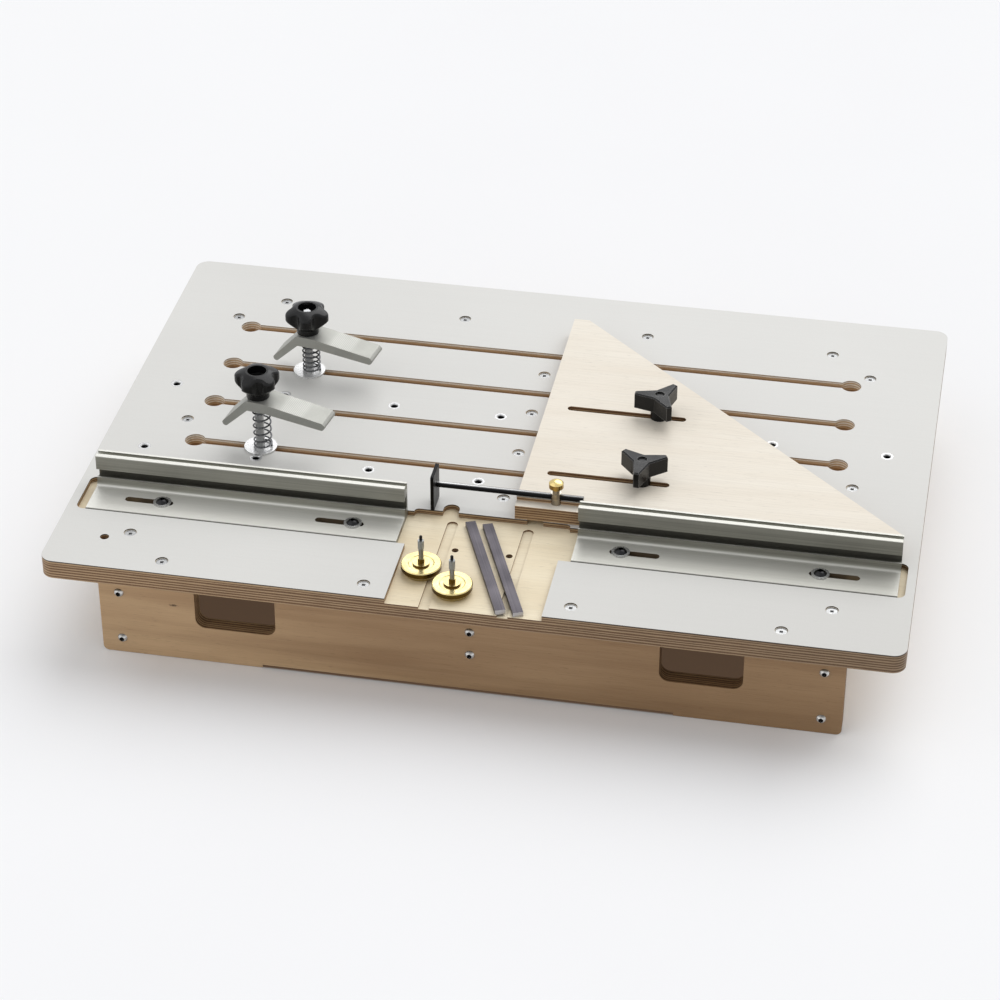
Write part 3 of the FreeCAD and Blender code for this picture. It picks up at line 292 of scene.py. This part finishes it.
    def painted(self):
        """The colour painted so far."""
        return self.shader.inputs["Base Color"].links[0].from_socket

    def polish(self, tone, pale, deep, smooth, rough):
        """Deep and rough where a tone is low, pale and smooth where it is high."""
        colour = self.mix(self.spread(tone), srgb(*deep), srgb(*pale))
        self.paint(colour, self.spread(tone, rough, smooth))

    def edges(self, radius):
        """One along the sharp edges of a piece, none on its faces."""
        rounded = self.tree.nodes.new("ShaderNodeBevel")
        rounded.samples = 6
        rounded.inputs["Radius"].default_value = radius
        true_normal = self.tree.nodes.new("ShaderNodeNewGeometry").outputs["True Normal"]
        facing = self.tree.nodes.new("ShaderNodeVectorMath")
        facing.operation = "DOT_PRODUCT"
        self.feed(facing.inputs[0], rounded.outputs[0])
        self.feed(facing.inputs[1], true_normal)
        return self.span(facing.outputs["Value"], 0.985, 0.9)

    def offset(self, centre):
        """Steps along x and y from an upright axis."""
        return self.math("SUBTRACT", self.x, centre[X]), self.math("SUBTRACT", self.y, centre[Y])

    def radius(self, centre):
        """Distance from an upright axis."""
        return self.length(*self.offset(centre))

    def thread(self, centre, pitch):
        """Height of a screw thread's flank round an upright axis, from none to a half."""
        east, north = self.offset(centre)
        bearing = self.math("DIVIDE", self.math("ARCTAN2", north, east), 2 * math.pi)
        climb = self.math("ADD", self.math("DIVIDE", self.z, pitch), bearing)
        return self.math("PINGPONG", climb, 0.5)


def wear(name, look):
    """Gives a node of the CAD model its material."""
    node = nodes[name]
    node.data.materials.clear()
    node.data.materials.append(look.material)


def run_scales(axis, along, across):
    """Noise scales for a texture that runs along one axis."""
    return tuple(along if k == axis else across for k in range(3))


def veneer(look, grain, pale, deep):
    """Colour and fibres of rotary birch veneer, its grain along one axis."""
    figure = look.noise(run_scales(grain, 2.4, 24), 3.0, 0.55, 0.8)
    cloud = look.noise(5)
    fibre = look.noise(run_scales(grain, 26, 1300), 3.0, 0.6)
    fleck = look.span(look.noise(run_scales(grain, 120, 1100), 1.0), 0.66, 0.76)
    tone = look.total((figure, 0.65), (cloud, 0.35))
    face = look.mix(look.span(tone, 0.32, 0.66), srgb(*deep), srgb(*pale))
    face = look.mix(look.span(fibre, 0.45, 0.8, 0.0, 0.35), face, darker(deep, 0.86))
    face = look.mix(look.math("MULTIPLY", fleck, 0.25), face, darker(deep, 0.66))
    return face, fibre


def ply_look(name, node, thick, grain, plies, pale, deep, edge=None):
    """Birch ply: veneer on its faces, and pale and dark plies with glue lines on its edges."""
    look = Look(name, Specular_IOR_Level=0.35)
    low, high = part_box(node)
    face, fibre = veneer(look, grain, pale, deep)
    place = (look.x, look.y, look.z)[thick]
    wobble = look.noise(run_scales(thick, 0, 14))
    uneven = look.noise(run_scales(thick, 330, 1.5), 1.0)
    depth = look.span(place, low[thick], high[thick], 0.0, plies)
    depth = look.math("ADD", depth, look.span(wobble, 0.2, 0.8, -0.2, 0.2))
    depth = look.math("ADD", depth, look.span(uneven, 0.2, 0.8, -0.45, 0.45))
    from_middle = look.math("ABSOLUTE", look.math("SUBTRACT", look.math("FRACT", depth), 0.5))
    odd = look.math("MODULO", look.math("FLOOR", depth), 2.0)
    thin = look.spread(look.noise(run_scales(thick, 260, 34)), 0.30, 0.46)
    broken = look.span(look.noise(run_scales(thick, 190, 16)), 0.34, 0.6, 0.2, 1.0)
    glue = look.both(look.span(from_middle, thin, 0.49), broken)
    pores = look.spread(look.noise(1900))
    lines = look.spread(look.noise(run_scales(thick, 3200, 60)))

    def layered(tones):
        """The edge's plies in five tones."""
        pale_ply = look.mix(lines, srgb(*tones[0]), srgb(*tones[1]))
        dark_ply = look.mix(pores, srgb(*tones[2]), srgb(*tones[3]))
        wood = look.mix(odd, pale_ply, dark_ply)
        return look.mix(look.math("MULTIPLY", glue, 0.9), wood, srgb(*tones[4]))

    side = edge(look, layered) if edge else layered(EDGE_TONES)
    flat = look.flat(thick)
    look.paint(look.mix(flat, side, face), look.span(fibre, 0.2, 0.8, 0.42, 0.58))
    look.relief(look.total((fibre, flat), (glue, -0.8)), 0.25, 0.0001)
    return look


def slot_area(look):
    """One over the part of the table that the four slots cross."""
    return look.both(look.within(look.y, *SLOTS_Y, 0.002), look.within(look.x, *SLOTS_X, 0.002))


def top_edge(look, layered):
    """Brown outer edges, darkened towards the right by painted shade. Slot and keyhole walls are painted
    lighter as painted light, palest at the mouth, and darkened below by painted shade.
    """
    # Painted shade: the outer edges darken towards the right.
    outer = look.tint(look.span(look.x, *TOP_EDGE_SHADE_X), layered(EDGE_TONES), 0.62, 0.63, 0.65)
    # Painted light: slot walls are paler than the outer edges, palest at the mouths of slots and
    # keyholes; painted shade darkens them further down.
    keyhole = look.span(look.math("ABSOLUTE", look.x), *KEYHOLES_X)
    keyhole = look.both(keyhole, look.span(look.z, *KEYHOLE_MOUTH_Z))
    mouth = look.math("MAXIMUM", look.span(look.z, *SLOT_MOUTH_Z), keyhole)
    wall = look.mix(mouth, layered(LIT_WALL_TONES), layered(LIT_MOUTH_TONES))
    wall = look.tint(look.span(look.z, *SLOT_SHADE_Z), wall, 0.98, 0.88, 0.74)
    return look.mix(slot_area(look), outer, wall)


def top_look():
    """The top's ply: grey in the countersinks and dark under the fence slots, both painted shade."""
    look = ply_look("top_ply", "top_panel", Z, X, TOP_PLIES, TOP_PALE, TOP_DEEP, top_edge)
    # Painted shade: the countersinks' cones are painted grey.
    cone = look.within(look.across[Z], 0.55, 0.85, 0.04)
    shade = look.mix(look.noise(500), srgb(150, 148, 144), srgb(190, 188, 184))
    painted = look.mix(cone, look.painted(), shade)
    # Painted shade: the pocket floor seen through the fence slots is painted dark brown.
    under = look.both(look.within(look.y, *FENCE_SLOT_SHADE_Y, 0.001), look.within(look.z, *POCKET_FLOOR_Z, 0.0002))
    aside = look.within(look.math("ABSOLUTE", look.x), *FENCE_SLOT_SHADE_X, 0.002)
    look.paint(look.mix(look.both(under, aside), painted, srgb(104, 86, 64)))
    return look


def front_look():
    """The front panel's ply: browner towards the right by painted shade, with a pin knot near its left
    end.
    """
    look = ply_look("front_panel_ply", "front_panel", Y, X, PANEL_PLIES, PANEL_PALE, PANEL_DEEP)
    # Painted shade: the panel is tinted browner towards the right, along a wavy line.
    streak = look.noise((1.6, 30, 30), 3.0, 0.6, 1.2)
    side = look.math("ADD", look.x, look.spread(streak, -0.1, 0.1))
    painted = look.tint(look.span(side, *PANEL_SHADE_X), look.painted(), 0.53, 0.475, 0.42)
    along = look.math("DIVIDE", look.math("SUBTRACT", look.x, KNOT_X), KNOT_LENGTH)
    up = look.math("DIVIDE", look.math("SUBTRACT", look.z, KNOT_Z), KNOT_HEIGHT)
    away = look.math("ADD", look.length(along, up), look.spread(look.noise(900), -0.3, 0.3))
    look.paint(look.mix(look.span(away, 1.1, 0.4, 0.0, 0.85), painted, srgb(58, 38, 24)))
    return look


def facing_look():
    """Pale grey satin laminate with a fine mottle, darker to the front right by painted shade. Its core
    shows at cut edges, paler in the slots by painted light.
    """
    look = Look("facing_laminate", Specular_IOR_Level=0.4)
    speck = look.noise(1400)
    streak = look.noise((5, 420, 420))
    cloud = look.noise(4)
    tone = look.total((speck, 0.4), (streak, 0.12), (cloud, 0.48))
    top = look.mix(look.span(tone, 0.35, 0.65), srgb(206, 205, 201), srgb(215, 214, 210))
    # Painted shade: the laminate darkens towards the front right corner.
    corner = look.both(look.span(look.x, *FACING_SHADE_X), look.span(look.y, *FACING_SHADE_Y))
    top = look.tint(corner, top, 0.86, 0.855, 0.85)
    outer_core = look.mix(speck, srgb(52, 45, 38), srgb(84, 74, 62))
    # Painted light: the core is painted paler where it shows in the slots.
    slot_core = look.mix(speck, srgb(168, 150, 126), srgb(188, 170, 146))
    core = look.mix(slot_area(look), outer_core, slot_core)
    look.paint(look.mix(look.flat(Z), core, top), look.spread(tone, 0.36, 0.5))
    look.relief(speck, 0.06, 0.00005)
    return look


def drawn_metal(name, axis, pale, deep, smooth=0.3, rough=0.48, waves=2400, metallic=1.0):
    """Metal with fine draw lines along one axis."""
    look = Look(name, Metallic=metallic)
    lines = look.noise(run_scales(axis, 4, waves), 3.0, 0.6)
    broad = look.noise(run_scales(axis, 2, 160))
    smear = look.noise(14)
    tone = look.total((lines, 0.5), (broad, 0.3), (smear, 0.2))
    look.polish(tone, pale, deep, smooth, rough)
    look.relief(lines, 0.2, 0.00006)
    return look


def fence_look():
    """Drawn aluminium: a painted highlight on top and pale in its groove; painted shade darkens its
    slots, its front edge and its right end.
    """
    look = drawn_metal("fence_aluminium", X, (162, 161, 150), (118, 117, 109), waves=850, metallic=0.4)
    # Painted highlight: faces that look up are painted paler.
    top = look.span(look.normal[Z], 0.5, 0.8)
    top_highlight = look.mix(look.noise((3, 900, 900)), srgb(206, 205, 198), srgb(222, 221, 214))
    painted = look.mix(top, look.painted(), top_highlight)
    # Painted shade: the fences darken towards the right.
    painted = look.tint(look.span(look.x, *FENCE_SHADE_X), painted, 0.77, 0.77, 0.755)

    groove = look.within(look.y, *GROOVE_Y, 0.0002)
    groove = look.both(groove, look.within(look.z, *GROOVE_Z, 0.0006))
    painted = look.mix(groove, painted, srgb(186, 186, 176))

    # Painted shade: the T-slot and the flange's front face are painted dark.
    t_slot = look.within(look.y, *T_SLOT_Y, 0.0006)
    t_slot = look.both(t_slot, look.within(look.z, *T_SLOT_Z, 0.0003))
    rim = look.both(look.span(look.y, *FENCE_RIM_Y), look.span(look.normal[Y], -0.4, -0.8))
    painted = look.mix(look.math("MAXIMUM", t_slot, rim), painted, srgb(92, 91, 82))

    # Painted shadow: a dark line along the flange next to the facing's edge.
    lip = look.both(look.within(look.y, *FENCE_LIP_Y, 0.0003), top)
    painted = look.tint(lip, painted, 0.34, 0.34, 0.33)

    # Painted shade: the walls of the screw slots are painted brown.
    screw_slot = look.within(look.y, *SCREW_SLOT_Y, 0.0003)
    screw_slot = look.both(screw_slot, look.span(look.normal[Z], 0.6, 0.3))
    look.paint(look.mix(screw_slot, painted, srgb(112, 100, 82)))
    return look


def rod_look():
    """Blackened rod with a painted highlight along its top."""
    look = drawn_metal("stop_rod_steel", X, (34, 34, 35), (18, 18, 19), 0.18, 0.3)
    # Painted highlight along the rod's top, fading towards its right.
    rub_and_highlight = look.span(look.normal[Z], 0.75, 0.97)
    rub_and_highlight = look.math("MULTIPLY", rub_and_highlight, look.span(look.x, *ROD_HIGHLIGHT_X, 0.35, 1.0))
    look.paint(look.mix(rub_and_highlight, look.painted(), srgb(176, 176, 175)))
    return look


def cast_look(name, centre):
    """Matt cast aluminium: a fine even grain, with milled lines across the long leg."""
    look = Look(name, Metallic=0.55)
    grain = look.noise(1500)
    cloud = look.noise(60)
    slant = math.radians(ARM_TURN)
    east, north = look.offset(centre)
    along = look.total((east, math.cos(slant)), (north, math.sin(slant)))
    ribs = look.span(look.math("PINGPONG", look.math("MULTIPLY", along, 620.0), 0.5), 0.1, 0.4)
    milled = look.both(look.within(along, *ARM_MILLED, 0.002), look.span(look.normal[Z], 0.7, 0.9))
    cut = look.both(ribs, milled)
    tone = look.total((grain, 0.5), (cloud, 0.5))
    colour = look.mix(look.spread(tone), srgb(157, 157, 151), srgb(167, 167, 161))
    colour = look.mix(look.math("MULTIPLY", cut, 0.5), colour, srgb(204, 204, 199))
    look.paint(colour, look.spread(tone, 0.6, 0.5))
    look.relief(look.math("ADD", look.math("MULTIPLY", grain, 0.25), cut), 0.2, 0.0001)
    return look


def plated_look(name, pale, deep, smooth, rough, metallic=0.9):
    """Plated steel with a faint mottle and handling marks."""
    look = Look(name, Metallic=metallic)
    mottle = look.noise(420, 3.0)
    marks = look.noise((90, 1600, 700))
    tone = look.total((mottle, 0.6), (marks, 0.4))
    look.polish(tone, pale, deep, smooth, rough)
    look.relief(marks, 0.08, 0.00004)
    return look


def thread_look(name, centre, pitch, pale, deep):
    """Steel with a screw thread's helix in its relief, and painted shade in the thread's roots."""
    look = Look(name, Metallic=1.0)
    flank = look.thread(centre, pitch)
    mottle = look.noise(700)
    # Painted shade: the thread's roots are painted deep, its crests pale.
    colour = look.mix(look.span(flank, 0.05, 0.45), srgb(*deep), srgb(*pale))
    colour = look.mix(look.math("MULTIPLY", mottle, 0.3), colour, darker(deep, 0.7))
    look.paint(colour, look.spread(mottle, 0.3, 0.42))
    look.relief(flank, 0.5, 0.0005)
    return look


def moulded_look(name, edge_glint):
    """Black moulded plastic: a fine spark texture, glossier in patches, with a painted highlight along
    its edges.
    """
    look = Look(name, Specular_IOR_Level=0.24)
    spark = look.noise(2200)
    rub_and_highlight = look.noise(70)
    colour = look.mix(look.span(rub_and_highlight, 0.35, 0.7), srgb(13, 13, 13), srgb(21, 20, 20))
    # Painted highlight: sharp edges are painted pale.
    colour = look.mix(look.math("MULTIPLY", look.edges(0.0005), edge_glint), colour, srgb(150, 148, 146))
    look.paint(colour, look.spread(rub_and_highlight, 0.36, 0.2))
    look.relief(spark, 0.18, 0.00012)
    return look


def turned_look(name, centre, pale, deep, side_shade):
    """Metal turned in a lathe: fine rings round its axis, duller in patches, its sides darkened by
    painted shade.
    """
    look = Look(name, Metallic=1.0)
    rings = look.noise((5200, 1500, 0), at=look.join(look.radius(centre), look.z, 0.0))
    tarnish = look.noise(130, 3.0)
    tone = look.total((rings, 0.45), (tarnish, 0.55))
    look.polish(tone, pale, deep, 0.16, 0.34)
    # Painted shade: the sides are tinted darker than the faces.
    look.paint(look.tint(look.span(look.across[Z], 0.7, 0.2), look.painted(), *side_shade))
    look.relief(rings, 0.2, 0.00005)
    return look


def stud_look(name, centre):
    """A thumb knob's stud: grey shank, threaded sleeve, black tip."""
    look = Look(name, Metallic=1.0)
    height = look.math("SUBTRACT", look.z, RECESS_FLOOR_Z)
    # The stops are shares of a height that reaches past the tip.
    tones = ((0.0, srgb(140, 140, 141)), (0.495, srgb(150, 152, 152)), (0.665, srgb(40, 40, 41)))
    colour = look.bands(look.math("DIVIDE", height, STUD_BANDS_HEIGHT), tones)
    sleeve = look.within(height, *STUD_SLEEVE, 0.0001)
    smudge = look.noise(600)
    colour = look.mix(look.math("MULTIPLY", smudge, 0.35), colour, srgb(24, 24, 25))
    look.paint(colour, look.spread(smudge, 0.28, 0.45))
    look.relief(look.both(look.thread(centre, SLEEVE_PITCH), sleeve), 0.9, 0.0005)
    return look


def bar_look(name):
    """Blue-grey ground steel bar: lines along its length, paler sawn ends."""
    look = Look(name, Metallic=0.9)
    cosine = math.cos(math.radians(BAR_TURN))
    sine = math.sin(math.radians(BAR_TURN))
    along = look.total((look.x, cosine), (look.y, sine))
    beside = look.total((look.y, cosine), (look.x, -sine))
    lines = look.noise((12, 2600, 2600), 3.0, at=look.join(along, beside, look.z))
    smear = look.noise(40)
    tone = look.total((lines, 0.6), (smear, 0.4))
    side = look.mix(look.spread(tone), srgb(64, 61, 66), srgb(96, 92, 97))
    sawn = look.mix(look.noise((300, 300, 2400)), srgb(150, 147, 148), srgb(206, 203, 202))
    end = look.math("ABSOLUTE", look.total((look.normal[X], cosine), (look.normal[Y], sine)))
    look.paint(look.mix(look.span(end, 0.6, 0.8), side, sawn), look.spread(tone, 0.5, 0.34))
    look.relief(lines, 0.2, 0.00006)
    return look


def base_screw_look():
    """Zinc plated; painted shade darkens the top of the head and fills its hexagon drive."""
    look = plated_look("base_screw_zinc", (226, 225, 222), (170, 169, 167), 0.12, 0.24, 0.85)

    def nearest(value, places):
        gaps = [look.math("ABSOLUTE", look.math("SUBTRACT", value, place)) for place in places]
        least = gaps[0]
        for gap in gaps[1:]:
            least = look.math("MINIMUM", least, gap)
        return least

    # Painted shade: the upper part of each head is tinted dark.
    above = look.span(look.normal[Z], 0.4, 0.75)
    painted = look.tint(above, look.painted(), 0.3, 0.28, 0.26)
    # Painted shade: a dark disc fills the middle of each drive.
    away = look.length(nearest(look.x, BASE_SCREWS_X), nearest(look.z, BASE_SCREWS_Z))
    look.paint(look.mix(look.span(away, *DRIVE_RADIUS), painted, srgb(22, 22, 24)))
    return look


def insert_look():
    """Bright plated rim; painted shade darkens its drive and thread."""
    look = plated_look("insert_plate", (205, 205, 204), (180, 180, 180), 0.24, 0.36, 0.7)
    # Painted shade: below the rim the hole is painted dark.
    look.paint(look.mix(look.span(look.z, *INSERT_RIM_Z), srgb(34, 34, 35), look.painted()))
    return look


def wear_wood():
    for node, thick, grain in (
        ("back_panel", Y, X),
        ("left_panel", X, Y),
        ("right_panel", X, Y),
        ("divider", X, Y),
    ):
        wear(node, ply_look(f"{node}_ply", node, thick, grain, PANEL_PLIES, PANEL_PALE, PANEL_DEEP))
    wear("front_panel", front_look())
    wear("top_panel", top_look())
    triangle = ("triangle_ply", "triangle_fence", Z, X, TOP_PLIES, TRIANGLE_PALE, TRIANGLE_DEEP)
    wear("triangle_fence", ply_look(*triangle))
    wear("top_facing", facing_look())


def wear_fixings():
    wear("base_screws", base_screw_look())
    wear("top_screws", plated_look("zinc_plate", (168, 168, 167), (146, 147, 148), 0.26, 0.4))
    wear("threaded_inserts", insert_look())
    bright_plate = plated_look("washer_plate", (230, 230, 229), (218, 218, 218), 0.24, 0.34, 0.55)
    for node in ("rear_clamp_washer", "front_clamp_washer"):
        wear(node, bright_plate)
    fence_plate = ("fence_washer_plate", (205, 205, 203), (168, 168, 166), 0.2, 0.34, 0.75)
    wear("fence_washers", plated_look(*fence_plate))
    blackened = drawn_metal("blackened_steel", X, (42, 42, 43), (22, 22, 23), 0.2, 0.36)
    blackened.shader.inputs["Coat Weight"].default_value = 0.2
    blackened.shader.inputs["Coat Roughness"].default_value = 0.12
    wear("fence_screws", blackened)


def wear_fences():
    fence_metal = fence_look()
    for node in ("left_fence", "right_fence"):
        wear(node, fence_metal)
    wear("stop_plate", drawn_metal("stop_plate_steel", Z, (30, 30, 31), (17, 17, 18), 0.34, 0.5))
    wear("stop_rod", rod_look())
    post = turned_look("stop_post_steel", STOP, (206, 200, 188), (160, 152, 138), (0.7, 0.66, 0.6))
    wear("stop_post", post)
    wear("stop_screw", thread_look("stop_thread", STOP, STOP_PITCH, (150, 150, 148), (80, 80, 80)))
    head = turned_look("stop_head_brass", STOP, (230, 212, 152), (198, 172, 104), (0.6, 0.5, 0.36))
    wear("stop_head", head)
    wing_plastic = moulded_look("wing_knob_plastic", 0.85)
    for side, centre in TRI_KNOBS.items():
        stud = thread_look(f"{side}_stud_thread", centre, STUD_PITCH, (168, 170, 170), (88, 89, 90))
        wear(f"{side}_tri_knob", wing_plastic)
        wear(f"{side}_tri_stud", stud)


def wear_clamps():
    star_plastic = moulded_look("star_knob_plastic", 0.3)
    for side, centre in CLAMPS.items():
        bolt = thread_look(f"{side}_bolt_thread", centre, BOLT_PITCH, (222, 223, 223), (158, 159, 160))
        wear(f"{side}_clamp_bolt", bolt)
        wear(f"{side}_clamp_arm", cast_look(f"{side}_arm_cast", centre))
        wear(f"{side}_clamp_knob", star_plastic)


def wear_loose_pieces():
    # The brass discs' sides are darkened by painted shade.
    pale_brass, deep_brass, brass_side_shade = (224, 208, 156), (198, 178, 118), (0.15, 0.115, 0.055)
    for side, centre in THUMBS.items():
        disc = turned_look(f"{side}_disc_brass", centre, pale_brass, deep_brass, brass_side_shade)
        wear(f"{side}_thumb_disc", disc)
        wear(f"{side}_thumb_stud", stud_look(f"{side}_stud_steel", centre))
        wear(f"{side}_guide_bar", bar_look(f"{side}_bar_steel"))


def wind_spring(name, x, y, base, height, look):
    """Round wire wound closer at both ends, in one smooth tube."""
    closed_height = CLOSED_PITCH * (2 * CLOSED_TURNS + EASE_TURNS)
    open_pitch = (height - WIRE - closed_height) / (TURNS - 2 * CLOSED_TURNS - EASE_TURNS)
    sections = TURNS * TURN_STEPS
    level = base + WIRE / 2
    points, faces = [], []
    for k in range(sections + 1):
        turn = k / TURN_STEPS
        share = min(1, max(0, (min(turn, TURNS - turn) - CLOSED_TURNS) / EASE_TURNS))
        pitch = CLOSED_PITCH + (open_pitch - CLOSED_PITCH) * share
        angle = 2 * math.pi * turn
        out = Vector((math.cos(angle), math.sin(angle), 0))
        run = Vector((-out.y, out.x, pitch / (2 * math.pi * COIL_RADIUS))).normalized()
        up = run.cross(out)
        middle = Vector((x, y, level)) + out * COIL_RADIUS
        for j in range(WIRE_SIDES):
            around = 2 * math.pi * j / WIRE_SIDES
            points.append(middle + (out * math.cos(around) + up * math.sin(around)) * (WIRE / 2))
        level += pitch / TURN_STEPS
    for k in range(sections):
        for j in range(WIRE_SIDES):
            a = k * WIRE_SIDES + j
            b = k * WIRE_SIDES + (j + 1) % WIRE_SIDES
            faces.append((a, a + WIRE_SIDES, b + WIRE_SIDES, b))
    last = sections * WIRE_SIDES
    faces.append(tuple(range(WIRE_SIDES)))
    faces.append(tuple(reversed(range(last, last + WIRE_SIDES))))
    mesh = bpy.data.meshes.new(name)
    mesh.from_pydata(points, [], faces)
    mesh.polygons.foreach_set("use_smooth", [len(face) == 4 for face in faces])
    mesh.materials.append(look.material)
    made = bpy.data.objects.new(name, mesh)
    bpy.context.scene.collection.objects.link(made)
    return made


def add_springs():
    """Winds both clamp springs in the place of their CAD nodes."""
    look = plated_look("spring_wire", (112, 113, 115), (62, 63, 65), 0.18, 0.32)
    for side, (x, y) in CLAMPS.items():
        node = f"{side}_clamp_spring"
        low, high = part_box(node)
        name = f"{side}_spring_wire"
        spring = wind_spring(name, x + SPRING_EAST, y, low.z, high.z - low.z, look)
        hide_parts(node)
        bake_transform(spring)


def add_stage():
    """A pale floor, with painted shade inside the open box and a faint painted glow there where it is
    seen. Where it is seen, painted light lifts it beside the two ends.
    """
    corners = [(FLOOR_REACH * x, FLOOR_REACH * y, 0) for x, y in ((-1, -1), (1, -1), (1, 1), (-1, 1))]
    mesh = bpy.data.meshes.new("floor")
    mesh.from_pydata(corners, [], [(0, 1, 2, 3)])
    floor = bpy.data.objects.new("floor", mesh)
    floor.location.z = FLOOR_Z
    bpy.context.scene.collection.objects.link(floor)
    look = Look("pale_floor", Roughness=0.9, Specular_IOR_Level=0.1)
    pale = look.mix(look.noise(3), srgb(240, 240, 241), srgb(243, 243, 244))
    # Painted shade: the floor inside the open box is painted brown.
    under = look.within(look.x, *FLOOR_SHADE_X, 0.01)
    under = look.both(under, look.within(look.y, *FLOOR_SHADE_Y, 0.001))
    rays = look.tree.nodes.new("ShaderNodeLightPath").outputs
    shiny = look.math("MAXIMUM", rays["Is Glossy Ray"], rays["Is Transmission Ray"])
    seen = look.math("MAXIMUM", rays["Is Camera Ray"], shiny)
    # Painted light: beside the two ends the seen floor is dimmed and given its own pale glow, which
    # lifts the shadow there.
    ends = look.span(look.math("ABSOLUTE", look.x), *FLOOR_ENDS_X)
    pale = look.tint(look.both(seen, ends), pale, 0.62, 0.62, 0.62)
    look.paint(look.mix(under, pale, srgb(96, 76, 58)))
    lift = look.mix(ends, (0, 0, 0, 1), (0.355, 0.357, 0.362, 1))
    # Painted glow: inside the box the floor glows brown where it is seen.
    look.feed(look.shader.inputs["Emission Color"], look.mix(under, lift, srgb(79, 63, 50)))
    look.feed(look.shader.inputs["Emission Strength"], seen)
    mesh.materials.append(look.material)


def add_sun(name, place, strength, spread):
    """A broad soft light from one side, even over the whole stage."""
    data = bpy.data.lights.new(name, "SUN")
    data.energy = strength
    data.angle = math.radians(spread)
    made = bpy.data.objects.new(name, data)
    made.rotation_euler = (-Vector(place)).to_track_quat("-Z", "Y").to_euler()
    bpy.context.scene.collection.objects.link(made)


def add_world():
    """A pale sky, full to the camera and in reflections, weaker as a light."""
    world = bpy.data.worlds.new("studio")
    world.use_nodes = True
    bpy.context.scene.world = world
    tree = world.node_tree
    rays = tree.nodes.new("ShaderNodeLightPath").outputs
    shiny = tree.nodes.new("ShaderNodeMath")
    shiny.operation = "MAXIMUM"
    tree.links.new(rays["Is Glossy Ray"], shiny.inputs[0])
    tree.links.new(rays["Is Transmission Ray"], shiny.inputs[1])
    seen = tree.nodes.new("ShaderNodeMath")
    seen.operation = "MAXIMUM"
    tree.links.new(rays["Is Camera Ray"], seen.inputs[0])
    tree.links.new(shiny.outputs[0], seen.inputs[1])
    strength = tree.nodes.new("ShaderNodeMapRange")
    strength.inputs["To Min"].default_value = SKY_AS_LIGHT
    strength.inputs["To Max"].default_value = SKY_SEEN
    tree.links.new(seen.outputs[0], strength.inputs["Value"])
    sky = tree.nodes["Background"]
    sky.inputs["Color"].default_value = (0.97, 0.98, 1.0, 1.0)
    tree.links.new(strength.outputs[0], sky.inputs["Strength"])


def add_camera():
    """The photograph's camera, found from the four corners of the top."""
    data = bpy.data.cameras.new("camera")
    data.lens = 108.75
    data.sensor_width = 36
    data.clip_end = 60
    camera = bpy.data.objects.new("camera", data)
    camera.location = (0.41368, -2.27972, 1.62126)
    camera.rotation_euler = [math.radians(turn) for turn in (55.529, 0.0, 10.7095)]
    bpy.context.scene.collection.objects.link(camera)
    bpy.context.scene.camera = camera


wear_wood()
wear_fixings()
wear_fences()
wear_clamps()
wear_loose_pieces()
add_springs()
add_stage()
add_sun("key", (0.3, 0.75, 1.0), 2.0, 60)
add_sun("fill", (-0.9, -0.5, 0.8), 0.5, 70)
add_world()
add_camera()
bpy.context.scene.view_settings.view_transform = "Standard"
